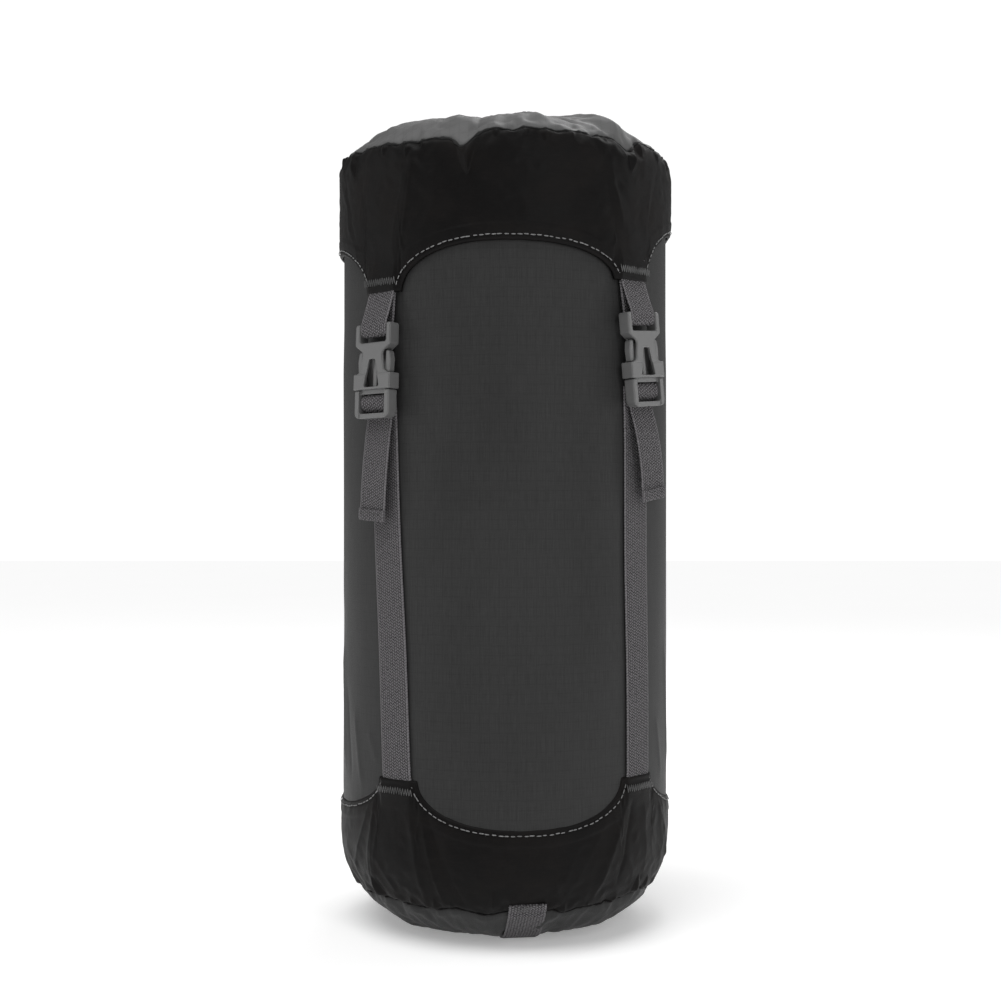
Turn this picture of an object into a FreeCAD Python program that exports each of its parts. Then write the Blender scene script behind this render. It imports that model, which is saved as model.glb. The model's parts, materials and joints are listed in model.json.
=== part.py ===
import FreeCAD, Part

import math
import os

from FreeCAD import Vector

# Compression sack, in millimetres. The axis of the sack is Z, it stands on z = 0, and its front is -Y.
# An azimuth is counted from the front towards +X. Soft parts are plain shells with the true outer shape.

# Sack
sack_radius = 88.5
sack_height = 436.0
foot_radius = 40.0
fabric_wall = 1.2
base_wall = 2.6
base_seam_angle = 54.0
base_hem_rise = 14.3
base_tab_length = 22.0
seam_width = 8.0
seam_thickness = 0.6
body_gap = 0.4

# Lid
lid_clearance = 1.3
lid_dome_radius = 215.0
lid_shoulder_radius = 26.0
lid_seam_angle = 32.0
lid_hem_drop = 79.0
lid_tab_length = 22.0
tube_drop = 56.0

# Tabs of both cuffs
tab_margin = 3.5
tab_root_spread = 29.0
tab_waist_spread = 6.0
tab_waist_share = 0.3
bartack_overhang = 1.0
bartack_height = 4.0
bartack_thickness = 0.9
bartack_inset = 4.0

# Seam binding
binding_thickness = 1.6
binding_length = 6.0

# Gathered mouth under the lid
collar_straight = 3.0
collar_shoulder_radius = 11.0
mouth_radius = 21.0
channel_width = 6.0
channel_height = 10.0
channel_wall = 1.0
cord_diameter = 3.0
cord_spacing = 3.8
cord_corner = 5.0
cord_exit_flare = 1.2
knot_inset = 15.5
knot_radius = 4.2

# Cord lock
lock_radius = 6.5
lock_floor = 13.0
lock_mouth = 8.5
lock_wall = 1.2
lock_offset = 14.0
lock_clearance = 0.6
lock_cord_clearance = 0.35
plunger_radius = 4.9
plunger_fit = 0.08
plunger_travel = 4.0
plunger_tail = 5.8
button_radius = 5.9
button_thickness = 2.7
button_gap = 4.4
spring_wire = 0.7
spring_radius = 3.2
spring_turns = 4
spring_steps = 10

# Webbing
webbing_width = 19.0
webbing_thickness = 1.0
webbing_gap = 0.3
webbing_corner = 0.6
tail_round = 0.4
run_end_gap = 2.6
handle_azimuth = 8.0
handle_groove_clearance = 0.2

# Straps: name, azimuth of the base tab, azimuth of the lid tab, lean of the buckle, how far the lid's tab
# and the buckle are above their usual height, and length of the tail
straps = [
    ("front_left", -38.0, -44.0, 0.0, -3.0, 51.5),
    ("front_right", 50.0, 46.0, 5.0, 3.5, 47.0),
    ("rear_right", 142.0, 136.0, 1.5, -1.0, 57.0),
    ("rear_left", 230.0, 226.0, -2.0, 1.5, 50.5),
]

# Side-release buckle. Its own frame: x across, y inwards, z up from the end of the ladder lock.
buckle_length = 48.0
anchor_drop = 15.5
overshoot = 1.0
buckle_standoff = 2.4
buckle_tilt = 2.0
socket_thickness = 6.4
socket_skin = 1.2
edge_round = 0.7
slot_round = 1.2
post_round = 1.6
shoulder_round = 1.5
waist_round = 2.6
window_round = 1.0
post_width = 3.2
slot_clearance = 0.5
bar_drop = 1.2
bar_width = 3.8
bar_back = 1.8
bar_front = 4.8
slot_height = 4.5
head_rim = 1.3
head_height = 3.8
waist_inset = 6.0
waist_foot_inset = 4.4
window_half_top = 2.4
window_half_low = 6.0
window_high = 30.0
window_low = 15.8
collar_low = 14.6
collar_high = 22.7
collar_overhang = 0.6
collar_rib = 0.3

# Ladder-lock plug
rail_high = 14.2
rail_round = 3.4
bar_round = 0.8
rail_back = 0.2
rail_front = 6.2
end_bar_high = 2.4
end_bar_back = 1.0
end_bar_front = 5.6
centre_bar_low = 6.6
centre_bar_high = 10.2
centre_bar_back = 1.2
centre_bar_front = 3.8
root_low = 12.4
root_high = 15.5
root_clearance = 0.3
tongue_half = 1.3
tongue_gap = 0.4
tongue_thickness = 1.6

# Spring prongs
prong_pivot_inset = 2.4
prong_knuckle_radius = 1.5
prong_knuckle_fit = 0.08
prong_thickness = 3.4
prong_stem_clearance = 0.5
prong_head_gap = 0.8
prong_round = 1.6
pad_bulge = 0.5
pad_bulge_share = 0.55
prong_stem_inwards = 1.0
prong_stem_outwards = 1.4
prong_ledge_gap = 0.3
prong_catch = 1.2
prong_pad_width = 1.8
prong_above_head = 0.6

# Worked out
cuff_radius = sack_radius + fabric_wall
lid_radius = sack_radius + lid_clearance + fabric_wall
corner_radius = cuff_radius - foot_radius
base_hem_height = corner_radius + base_hem_rise
base_tab_height = base_hem_height + base_tab_length
tube_top = sack_height - tube_drop
lid_hem_height = sack_height - lid_hem_drop
lid_tab_height = lid_hem_height - lid_tab_length
tab_end_half = webbing_width / 2 + tab_margin
tab_waist_half = tab_end_half + tab_waist_spread
tab_root_half = tab_end_half + tab_root_spread
bartack_width = webbing_width + 2 * bartack_overhang
shoulder_centre_radius = lid_radius - lid_shoulder_radius
dome_centre_height = sack_height - lid_dome_radius
shoulder_height = dome_centre_height + math.sqrt(
    (lid_dome_radius - lid_shoulder_radius) ** 2 - shoulder_centre_radius**2
)
dome_angle = math.degrees(math.acos(shoulder_centre_radius / (lid_dome_radius - lid_shoulder_radius)))
collar_top = tube_top + collar_straight + collar_shoulder_radius
cord_height = collar_top + lock_radius + lock_clearance
cord_circle_radius = mouth_radius + channel_width / 2
channel_outer_radius = mouth_radius + channel_width
cord_free_length = sack_radius - knot_inset - channel_outer_radius
lock_distance = channel_outer_radius + lock_offset - lock_radius / 2
buckle_radius = sack_radius + buckle_standoff
buckle_bottom = lid_tab_height - anchor_drop - buckle_length
buckle_centre = buckle_bottom + buckle_length / 2
slot_half = webbing_width / 2 + slot_clearance
post_half = slot_half + post_width
bar_high = buckle_length - bar_drop
bar_low = bar_high - bar_width
head_high = bar_low - slot_height
head_shoulder = head_high - head_rim
head_low = head_shoulder - head_height
waist_half = post_half - waist_inset
waist_foot_half = post_half - waist_foot_inset
collar_half = post_half + collar_overhang
collar_bore_half = collar_half - post_width
rail_inner_half = webbing_width / 2 + webbing_gap
rail_outer_half = rail_inner_half + post_width
tongue_high = head_low - tongue_gap
prong_pivot = collar_bore_half - prong_pivot_inset
prong_high = head_low + prong_above_head


def around(radius, angle, centre_radius, centre_height):
    """Point on a circle in the XZ plane, at an angle above the horizontal."""
    a = math.radians(angle)
    return Vector(centre_radius + radius * math.cos(a), 0, centre_height + radius * math.sin(a))


def arc(radius, start, end, centre_radius, centre_height):
    points = [around(radius, a, centre_radius, centre_height) for a in (start, (start + end) / 2, end)]
    return Part.Arc(*points).toShape()


def joined(edges):
    """Closed face from edges and the straight lines that join the end of each to the next."""
    outline = []
    for edge, following in zip(edges, edges[1:] + edges[:1]):
        end = edge.Vertexes[-1].Point
        start = following.Vertexes[0].Point
        outline.append(edge)
        if end.distanceToPoint(start) > 1e-6:
            outline.append(Part.makeLine(end, start))
    return Part.Face(Part.Wire(Part.__sortEdges__(outline)))


def profile(points):
    """Face in the XZ plane from (x, z) points."""
    return Part.Face(Part.makePolygon([Vector(x, 0, z) for x, z in points + points[:1]]))


def revolved(face):
    return face.revolve(Vector(0, 0, 0), Vector(0, 0, 1), 360)


def ring(inner, outer, low, high):
    return revolved(profile([(inner, low), (outer, low), (outer, high), (inner, high)]))


def block(x0, x1, out0, out1, z0, z1):
    """Box in the front frame, where out0 and out1 are distances towards -Y."""
    return Part.makeBox(x1 - x0, out1 - out0, z1 - z0, Vector(x0, -out1, z0))


def rounded(corners):
    """Face in the XZ plane from (x, z, radius) corners."""
    turns = []
    for i, (x, z, radius) in enumerate(corners):
        here = Vector(x, 0, z)
        before = corners[i - 1]
        after = corners[(i + 1) % len(corners)]
        back = (Vector(before[0], 0, before[1]) - here).normalize()
        ahead = (Vector(after[0], 0, after[1]) - here).normalize()
        half = back.getAngle(ahead) / 2
        inwards = (back + ahead).normalize()
        reach = radius / math.tan(half)
        middle = here + inwards * (radius / math.sin(half) - radius)
        turns.append((here + back * reach, middle, here + ahead * reach))
    edges = []
    for i, (start, middle, end) in enumerate(turns):
        if start.distanceToPoint(end) > 1e-6:
            edges.append(Part.Arc(start, middle, end).toShape())
        following = turns[(i + 1) % len(turns)][0]
        if end.distanceToPoint(following) > 1e-6:
            edges.append(Part.makeLine(end, following))
    return Part.Face(Part.Wire(Part.__sortEdges__(edges)))


def moulded(corners, out0, out1, radius):
    """Plate with a rounded outline, whose front and back edges are rounded too."""
    solid = rounded(corners).translated(Vector(0, -out0, 0)).extrude(Vector(0, out0 - out1, 0))
    if radius == 0:
        return solid
    return solid.makeFillet(radius, [edge for edge in solid.Edges if edge.BoundBox.YLength < 1e-6])


def mirrored(corners):
    """Outline that is the same on both sides of x = 0, from its right half."""
    return corners + [(-corner[0],) + corner[1:] for corner in reversed(corners)]


def turned(shape, azimuth):
    return shape.rotated(Vector(0, 0, 0), Vector(0, 0, 1), azimuth)


def patch(inner, outer, azimuth, width, low, high):
    """Part of a ring as wide as a strap."""
    strip = block(-width / 2, width / 2, 0, outer + overshoot, low, high)
    return ring(inner, outer, low, high).common(turned(strip, azimuth))


def ribbon(path, width):
    """Webbing along a path of (out, z) points, with round corners."""
    half = webbing_thickness / 2
    pieces = []
    for (out0, z0), (out1, z1) in zip(path, path[1:]):
        length = math.hypot(out1 - out0, z1 - z0)
        run = Part.makeBox(width, webbing_thickness, length, Vector(-width / 2, -half, 0))
        run.rotate(Vector(0, 0, 0), Vector(1, 0, 0), math.degrees(math.atan2(out1 - out0, z1 - z0)))
        pieces.append(run.translated(Vector(0, -out0, z0)))
    for out, z in path[1:-1]:
        start = Vector(-width / 2, -out, z)
        pieces.append(Part.makeCylinder(half, width, start, Vector(1, 0, 0)))
    return pieces[0].fuse(pieces[1:]).removeSplitter()


def corner_band(outer, inner, start, end):
    """Shell round the bottom corner, between two angles measured up from straight down."""
    edges = [
        arc(outer, start - 90, end - 90, foot_radius, corner_radius),
        arc(inner, end - 90, start - 90, foot_radius, corner_radius),
    ]
    return revolved(joined(edges))


def tab_prism(end_height, root_height):
    """Block with the outline of a cuff's tab, whose sides are hollow curves."""
    waist_height = end_height + tab_waist_share * (root_height - end_height)
    corners = [
        Vector(tab_end_half, 0, end_height),
        Vector(tab_waist_half, 0, waist_height),
        Vector(tab_root_half, 0, root_height),
    ]
    right = Part.Arc(*corners).toShape()
    left = right.mirror(Vector(0, 0, 0), Vector(1, 0, 0))
    base = Part.makeLine(corners[2], Vector(-tab_root_half, 0, root_height))
    end = Part.makeLine(corners[0], Vector(-tab_end_half, 0, end_height))
    outline = Part.Wire(Part.__sortEdges__([right, base, left, end]))
    return Part.Face(outline).extrude(Vector(0, -2 * lid_radius, 0))


def cuff_tab(inner, outer, end_height, root_height, azimuth):
    low = min(end_height, root_height)
    high = max(end_height, root_height)
    return ring(inner, outer, low, high).common(turned(tab_prism(end_height, root_height), azimuth))


# Base and body of the sack


def handle_slab(clearance):
    half = webbing_width / 2 + clearance
    slab = Part.makeBox(2 * half, 4 * sack_radius, sack_radius, Vector(-half, -2 * sack_radius, 0))
    return turned(slab, handle_azimuth)


def handle_layer():
    """The outermost layer of the base, as thick as webbing."""
    flat = Part.makeCylinder(foot_radius, webbing_thickness)
    inner = corner_radius - webbing_thickness
    return flat.fuse(corner_band(corner_radius, inner, 0, base_seam_angle)).removeSplitter()


def base_panel():
    flat = Part.makeCylinder(foot_radius, base_wall)
    corner = corner_band(corner_radius, corner_radius - base_wall, 0, base_seam_angle)
    panel = flat.fuse(corner).removeSplitter()
    return panel.cut(handle_layer().common(handle_slab(handle_groove_clearance)))


def base_handle():
    return handle_layer().common(handle_slab(0))


def base_cuff():
    inner = corner_radius - fabric_wall
    corner = corner_band(corner_radius, inner, base_seam_angle, 90)
    wall = ring(sack_radius, cuff_radius, corner_radius, base_hem_height)
    tabs = [
        cuff_tab(sack_radius, cuff_radius, base_tab_height, base_hem_height, azimuth)
        for _, azimuth, _, _, _, _ in straps
    ]
    return corner.fuse([wall] + tabs).removeSplitter()


def base_seam_binding():
    outer = corner_radius - base_wall
    spread = math.degrees(binding_length / outer)
    return corner_band(outer, outer - binding_thickness, base_seam_angle - spread, base_seam_angle)


def base_bartacks():
    high = base_tab_height - bartack_inset
    outer = cuff_radius + bartack_thickness
    tacks = []
    for _, azimuth, _, _, _, _ in straps:
        tacks.append(patch(cuff_radius, outer, azimuth, bartack_width, high - bartack_height, high))
    return Part.makeCompound(tacks)


def handle_bartacks():
    spread = math.degrees(bartack_height / corner_radius)
    outer = corner_radius + bartack_thickness
    band = corner_band(outer, corner_radius, base_seam_angle, base_seam_angle + spread)
    return band.common(handle_slab(0))


def body_tube():
    return ring(sack_radius - fabric_wall, sack_radius, corner_radius, tube_top - body_gap)


def body_seam():
    outer = sack_radius + seam_thickness
    return patch(sack_radius, outer, 180, seam_width, base_hem_height, tube_top - body_gap)


def strap_run(base_azimuth, lid_azimuth, lean, rise):
    """Flat webbing from the base tab up to the ladder lock."""
    low = base_tab_height
    high = buckle_bottom + rise + root_low - run_end_gap
    inner = sack_radius + webbing_gap
    ends = []
    for azimuth, height in ((base_azimuth, low), (buckle_azimuth(lid_azimuth, lean), high)):
        outline = Part.makePolygon(
            [
                Vector(x, -(inner + depth), height)
                for x, depth in (
                    (-webbing_width / 2, 0),
                    (webbing_width / 2, 0),
                    (webbing_width / 2, webbing_thickness),
                    (-webbing_width / 2, webbing_thickness),
                    (-webbing_width / 2, 0),
                )
            ]
        )
        ends.append(turned(outline, azimuth))
    return Part.makeLoft(ends, True, True)


# Gathered mouth and cord lock


def mouth_collar():
    centre_radius = sack_radius - collar_shoulder_radius
    centre_height = collar_top - collar_shoulder_radius
    inner = collar_shoulder_radius - fabric_wall
    edges = [
        arc(collar_shoulder_radius, 0, 90, centre_radius, centre_height),
        Part.makeLine(
            Vector(mouth_radius, 0, collar_top), Vector(mouth_radius, 0, collar_top - fabric_wall)
        ),
        arc(inner, 90, 0, centre_radius, centre_height),
        Part.makeLine(
            Vector(sack_radius - fabric_wall, 0, tube_top), Vector(sack_radius, 0, tube_top)
        ),
    ]
    return revolved(joined(edges))


def cord_channel():
    high = collar_top + channel_height
    outside = ring(mouth_radius, channel_outer_radius, collar_top, high)
    inside = ring(
        mouth_radius + channel_wall,
        channel_outer_radius - channel_wall,
        collar_top + channel_wall,
        high - channel_wall,
    )
    half = cord_spacing / 2 + cord_diameter / 2 + cord_exit_flare
    depth = cord_diameter / 2 + lock_cord_clearance
    exit_hole = block(
        -half, half, cord_circle_radius, 2 * channel_outer_radius, cord_height - depth, cord_height + depth
    )
    return outside.cut(inside).cut(exit_hole)


def drawcord():
    """Loop in the channel, whose two ends turn out at the front and run side by side."""
    half = cord_spacing / 2
    reach = cord_circle_radius + cord_corner
    corner_x = half + cord_corner
    corner_y = -math.sqrt(reach**2 - corner_x**2)
    end = -(channel_outer_radius + cord_free_length)
    share = cord_circle_radius / reach
    edges = []
    for side in (-1, 1):
        centre = Vector(side * corner_x, corner_y, cord_height)
        leaving = Vector(-side, 0, 0)
        meeting = Vector(-centre.x, -centre.y, 0).normalize()
        middle = (leaving + meeting).normalize()
        turn = [centre + direction * cord_corner for direction in (leaving, middle, meeting)]
        edges.append(Part.makeLine(Vector(side * half, end, cord_height), turn[0]))
        edges.append(Part.Arc(*turn).toShape())
    left = Vector(-corner_x * share, corner_y * share, cord_height)
    right = Vector(corner_x * share, corner_y * share, cord_height)
    edges.append(Part.Arc(left, Vector(0, cord_circle_radius, cord_height), right).toShape())
    start = Vector(-half, end, cord_height)
    section = Part.Wire(Part.makeCircle(cord_diameter / 2, start, Vector(0, 1, 0)))
    path = Part.Wire(Part.__sortEdges__(edges))
    return path.makePipeShell([section], True, False)


def drawcord_knot(cord):
    centre = Vector(0, -(channel_outer_radius + cord_free_length), cord_height)
    return Part.makeSphere(knot_radius, centre).cut(cord)


def lock_hole(extra):
    """Slot for both cords, lengthened towards +X by the plunger's travel."""
    half = cord_spacing / 2 + cord_diameter / 2 + lock_cord_clearance
    depth = cord_diameter / 2 + lock_cord_clearance
    return Part.makeBox(
        2 * half + extra, 4 * lock_radius, 2 * depth, Vector(-half, -2 * lock_radius, -depth)
    )


def lock_placed(shape):
    return shape.translated(Vector(0, -lock_distance, cord_height))


def cord_lock_barrel():
    along = Vector(1, 0, 0)
    shell = Part.makeCylinder(lock_radius, lock_floor + lock_mouth, Vector(-lock_floor, 0, 0), along)
    bore = Part.makeCylinder(
        plunger_radius + plunger_fit,
        lock_floor + lock_mouth,
        Vector(lock_wall - lock_floor, 0, 0),
        along,
    )
    return lock_placed(shell.cut(bore).cut(lock_hole(0)))


def cord_lock_plunger():
    along = Vector(1, 0, 0)
    stem_end = lock_mouth + button_gap
    stem = Part.makeCylinder(plunger_radius, plunger_tail + stem_end, Vector(-plunger_tail, 0, 0), along)
    button = Part.makeCylinder(button_radius, button_thickness, Vector(stem_end, 0, 0), along)
    return lock_placed(stem.fuse(button).cut(lock_hole(plunger_travel)).removeSplitter())


def cord_lock_spring():
    """Coil spring between the barrel's floor and the plunger, bent in short straight steps."""
    rise = lock_floor - lock_wall - plunger_tail - spring_wire
    steps = spring_turns * spring_steps
    points = []
    for step in range(steps + 1):
        a = 2 * math.pi * step / spring_steps
        along = lock_wall - lock_floor + spring_wire / 2 + rise * step / steps
        points.append(Vector(along, spring_radius * math.cos(a), spring_radius * math.sin(a)))
    path = Part.makePolygon(points)
    disc = Part.makeCircle(spring_wire / 2, points[0], points[1] - points[0])
    return lock_placed(path.makePipeShell([Part.Wire(disc)], True, False, 1))


# Lid


def lid_panel():
    seam = lid_seam_angle
    outer = lid_shoulder_radius
    edges = [
        arc(outer, seam, dome_angle, shoulder_centre_radius, shoulder_height),
        arc(lid_dome_radius, dome_angle, 90, 0, dome_centre_height),
        arc(lid_dome_radius - fabric_wall, 90, dome_angle, 0, dome_centre_height),
        arc(outer - fabric_wall, dome_angle, seam, shoulder_centre_radius, shoulder_height),
    ]
    return revolved(joined(edges))


def lid_cuff():
    outer = lid_shoulder_radius
    inner = outer - fabric_wall
    edges = [
        arc(outer, 0, lid_seam_angle, shoulder_centre_radius, shoulder_height),
        arc(inner, lid_seam_angle, 0, shoulder_centre_radius, shoulder_height),
        Part.makeLine(
            Vector(lid_radius - fabric_wall, 0, lid_hem_height), Vector(lid_radius, 0, lid_hem_height)
        ),
    ]
    tabs = [
        cuff_tab(lid_radius - fabric_wall, lid_radius, lid_tab_height + rise, lid_hem_height, azimuth)
        for _, _, azimuth, _, rise, _ in straps
    ]
    return revolved(joined(edges)).fuse(tabs).removeSplitter()


def lid_seam_binding():
    outer = lid_shoulder_radius - fabric_wall
    inner = outer - binding_thickness
    spread = math.degrees(binding_length / outer)
    edges = [
        arc(outer, lid_seam_angle, lid_seam_angle + spread, shoulder_centre_radius, shoulder_height),
        arc(inner, lid_seam_angle + spread, lid_seam_angle, shoulder_centre_radius, shoulder_height),
    ]
    return revolved(joined(edges))


def lid_bartacks():
    outer = lid_radius + bartack_thickness
    tacks = []
    for _, _, azimuth, _, rise, _ in straps:
        low = lid_tab_height + rise + bartack_inset
        tacks.append(patch(lid_radius, outer, azimuth, bartack_width, low, low + bartack_height))
    return Part.makeCompound(tacks)


# Buckles, in their own frame, and where they sit


def buckle_azimuth(lid_azimuth, lean):
    """A leaning buckle still hangs from the middle of its tab."""
    drop = lid_tab_height - buckle_centre
    return lid_azimuth + math.degrees(drop * math.sin(math.radians(lean)) / sack_radius)


def on_sack(shape, lid_azimuth, lean, rise):
    moved = shape.translated(Vector(0, -buckle_radius, buckle_bottom + rise))
    centre = Vector(0, -(buckle_radius + socket_thickness / 2), buckle_centre + rise)
    moved.rotate(centre, Vector(0, 1, 0), -lean)
    moved.rotate(centre, Vector(1, 0, 0), -buckle_tilt)
    return turned(moved, buckle_azimuth(lid_azimuth, lean))


def buckle_socket():
    deep = socket_thickness
    outline = [
        (slot_half, head_high, slot_round),
        (slot_half, buckle_length, post_round / 2),
        (post_half, buckle_length, post_round),
        (post_half, head_shoulder, shoulder_round),
        (waist_half, head_low, waist_round),
        (waist_foot_half, collar_high + waist_round / 2, waist_round / 2),
        (collar_half - collar_rib, collar_high - edge_round, 0),
        (collar_half - collar_rib, collar_low + edge_round, 0),
    ]
    window_outline = mirrored(
        [(window_half_low, window_low, window_round), (window_half_top, window_high, window_round)]
    )
    body = moulded(mirrored(outline), 0, deep, edge_round)
    bar = block(-slot_half, slot_half, bar_back, bar_front, bar_low, bar_high)
    collar = block(-collar_half, collar_half, -collar_rib, deep + collar_rib, collar_low, collar_high)
    collar = collar.makeFillet(edge_round, collar.Edges)
    bore = block(
        -collar_bore_half,
        collar_bore_half,
        socket_skin,
        deep - socket_skin,
        collar_low - overshoot,
        collar_high + overshoot,
    )
    gap = block(
        -post_half - overshoot,
        post_half + overshoot,
        socket_skin,
        deep - socket_skin,
        collar_high,
        prong_high + prong_head_gap,
    )
    window = moulded(window_outline, deep - socket_skin - overshoot, deep + collar_rib + overshoot, 0)
    return body.fuse([bar, collar]).cut(bore).cut(gap).cut(window).removeSplitter()


def buckle_plug():
    middle = socket_thickness / 2
    root_half = collar_bore_half - root_clearance
    root_depth = socket_thickness / 2 - socket_skin - root_clearance
    tongue_depth = tongue_thickness / 2
    inner = rail_inner_half
    outline = mirrored([(rail_outer_half, 0, rail_round), (rail_outer_half, rail_high, edge_round)])
    back, front = rail_back - overshoot, rail_front + overshoot
    low, high = -overshoot, end_bar_high + overshoot
    window = mirrored([(inner, end_bar_high, slot_round), (inner, rail_high + overshoot, 0)])
    frame = moulded(outline, rail_back, rail_front, edge_round)
    frame = frame.cut(moulded(window, back, front, 0))
    frame = frame.cut(block(-inner, inner, back, end_bar_back, low, high))
    frame = frame.cut(block(-inner, inner, end_bar_front, front, low, high))
    bar = block(-inner, inner, centre_bar_back, centre_bar_front, centre_bar_low, centre_bar_high)
    bar = bar.makeFillet(bar_round, [edge for edge in bar.Edges if edge.BoundBox.XLength > inner])
    back, front = middle - root_depth, middle + root_depth
    bridge = block(-inner, inner, back, front, root_low, rail_high)
    root = block(-root_half, root_half, back, front, root_low, root_high)
    tongue = moulded(
        mirrored([(tongue_half, root_high - overshoot, 0), (tongue_half, tongue_high, tongue_half / 2)]),
        middle - tongue_depth,
        middle + tongue_depth,
        0,
    )
    plug = frame.fuse([bar, bridge, root, tongue])
    for side in (-1, 1):
        seat = Part.makeCylinder(
            prong_knuckle_radius + prong_knuckle_fit,
            socket_thickness,
            Vector(side * prong_pivot, 0, root_high),
            Vector(0, -1, 0),
        )
        plug = plug.cut(seat)
    return plug.removeSplitter()


def buckle_prong(side):
    """Spring arm with a round knuckle in the plug's root and a pad whose ledge catches the collar."""
    back = (socket_thickness - prong_thickness) / 2
    front = back + prong_thickness
    ledge = collar_high + prong_ledge_gap
    pad_outer = collar_bore_half + prong_catch
    pad_inner = collar_bore_half - prong_pad_width
    outline = [
        (prong_pivot - prong_stem_inwards, root_high, 0),
        (prong_pivot + prong_stem_outwards, root_high, 0),
        (collar_bore_half - prong_stem_clearance, ledge, 0),
        (pad_outer, ledge, prong_round / 4),
        (pad_outer + pad_bulge, ledge + pad_bulge_share * (prong_high - ledge), prong_round),
        (pad_outer - pad_bulge, prong_high, prong_round),
        (pad_inner, prong_high, prong_round / 2),
        (pad_inner, ledge, prong_round),
    ]
    arm = moulded([(side * x, z, r) for x, z, r in outline], back, front, prong_round / 4)
    knuckle = Part.makeCylinder(
        prong_knuckle_radius,
        prong_thickness,
        Vector(side * prong_pivot, -back, root_high),
        Vector(0, -1, 0),
    )
    return arm.fuse(knuckle).removeSplitter()


def anchor_loop(lean):
    """Webbing doubled round the socket's bar; both ends go up to the lid's tab."""
    side_rise = webbing_width / 2 * abs(math.sin(math.radians(lean)))
    top = lid_tab_height - buckle_bottom - webbing_gap - side_rise
    clear = webbing_thickness / 2 + webbing_gap
    back = bar_back - clear
    front = bar_front + clear
    below = bar_low - clear
    path = [
        (0.0, top),
        (back, bar_high + webbing_thickness),
        (back, below + webbing_corner),
        (back + webbing_corner, below),
        (front - webbing_corner, below),
        (front, below + webbing_corner),
        (front, bar_high),
        (webbing_thickness + webbing_gap, top),
    ]
    return ribbon(path, webbing_width)


def strap_tail(length):
    """Webbing over the centre bar, back through the lower slot and down behind the end bar."""
    clear = webbing_thickness / 2 + webbing_gap
    above = centre_bar_high + clear + tail_round / 2
    front = centre_bar_front + clear
    behind = end_bar_back - clear
    path = [
        (centre_bar_back - 2 * clear, above - webbing_corner),
        (centre_bar_back - clear, above),
        (centre_bar_front, above),
        (front, centre_bar_high - tail_round),
        (front, centre_bar_low),
        (centre_bar_front - tail_round / 2, centre_bar_low - clear - tail_round),
        (end_bar_back, end_bar_high + clear + webbing_corner),
        (behind, end_bar_high),
        (behind, -length),
    ]
    return ribbon(path, webbing_width)


def write(name, shape):
    shape.exportStep("parts/" + name + ".step")
    print(name, len(shape.Solids), round(shape.Volume, 1), shape.isValid())


def write_sack():
    write("base_panel", base_panel())
    write("base_cuff", base_cuff())
    write("base_seam_binding", base_seam_binding())
    write("base_bartacks", base_bartacks())
    write("base_handle", base_handle())
    write("handle_bartacks", handle_bartacks())
    write("body_tube", body_tube())
    write("body_seam", body_seam())


def write_mouth():
    cord = drawcord()
    write("mouth_collar", mouth_collar())
    write("cord_channel", cord_channel())
    write("drawcord", cord)
    write("drawcord_knot", drawcord_knot(cord))
    write("cord_lock_barrel", cord_lock_barrel())
    write("cord_lock_plunger", cord_lock_plunger())
    write("cord_lock_spring", cord_lock_spring())


def write_lid():
    write("lid_panel", lid_panel())
    write("lid_cuff", lid_cuff())
    write("lid_seam_binding", lid_seam_binding())
    write("lid_bartacks", lid_bartacks())


def write_straps():
    for name, base_azimuth, lid_azimuth, lean, rise, tail_length in straps:
        place = (lid_azimuth, lean, rise)
        write("strap_run_" + name, strap_run(base_azimuth, *place))
        write("anchor_loop_" + name, on_sack(anchor_loop(lean), *place))
        write("strap_tail_" + name, on_sack(strap_tail(tail_length), *place))
        write("buckle_socket_" + name, on_sack(buckle_socket(), *place))
        write("buckle_plug_" + name, on_sack(buckle_plug(), *place))
        for word, side in (("left", -1), ("right", 1)):
            write("prong_" + word + "_" + name, on_sack(buckle_prong(side), *place))


os.makedirs("parts", exist_ok=True)
write_sack()
write_mouth()
write_lid()
write_straps()
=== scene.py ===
import json
import math

import bmesh
import bpy
import numpy as np
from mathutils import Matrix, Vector, noise
from mathutils.bvhtree import BVHTree
from mathutils.geometry import delaunay_2d_cdt


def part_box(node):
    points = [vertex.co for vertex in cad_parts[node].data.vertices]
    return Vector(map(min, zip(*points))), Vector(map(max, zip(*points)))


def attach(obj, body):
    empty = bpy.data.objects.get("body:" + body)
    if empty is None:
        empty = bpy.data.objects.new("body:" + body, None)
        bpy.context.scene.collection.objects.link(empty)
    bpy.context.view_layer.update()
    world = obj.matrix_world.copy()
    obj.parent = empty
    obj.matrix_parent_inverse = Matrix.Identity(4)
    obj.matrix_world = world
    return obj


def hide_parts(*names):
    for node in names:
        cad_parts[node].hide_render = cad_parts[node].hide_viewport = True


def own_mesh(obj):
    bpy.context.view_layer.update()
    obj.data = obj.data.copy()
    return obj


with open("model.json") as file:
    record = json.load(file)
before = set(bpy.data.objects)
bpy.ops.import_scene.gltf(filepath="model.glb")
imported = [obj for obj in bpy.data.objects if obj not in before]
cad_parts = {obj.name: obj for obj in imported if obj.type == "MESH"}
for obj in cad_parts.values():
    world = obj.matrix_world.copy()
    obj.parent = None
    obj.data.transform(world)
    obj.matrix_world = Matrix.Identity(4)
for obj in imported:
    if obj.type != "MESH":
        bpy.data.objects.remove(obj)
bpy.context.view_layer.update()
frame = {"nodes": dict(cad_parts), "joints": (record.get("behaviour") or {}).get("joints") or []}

# Compression sack, in metres. Azimuths are counted from the front (-Y) towards +X, in radians.

MM = 0.001
TAU = 2 * math.pi

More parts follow.
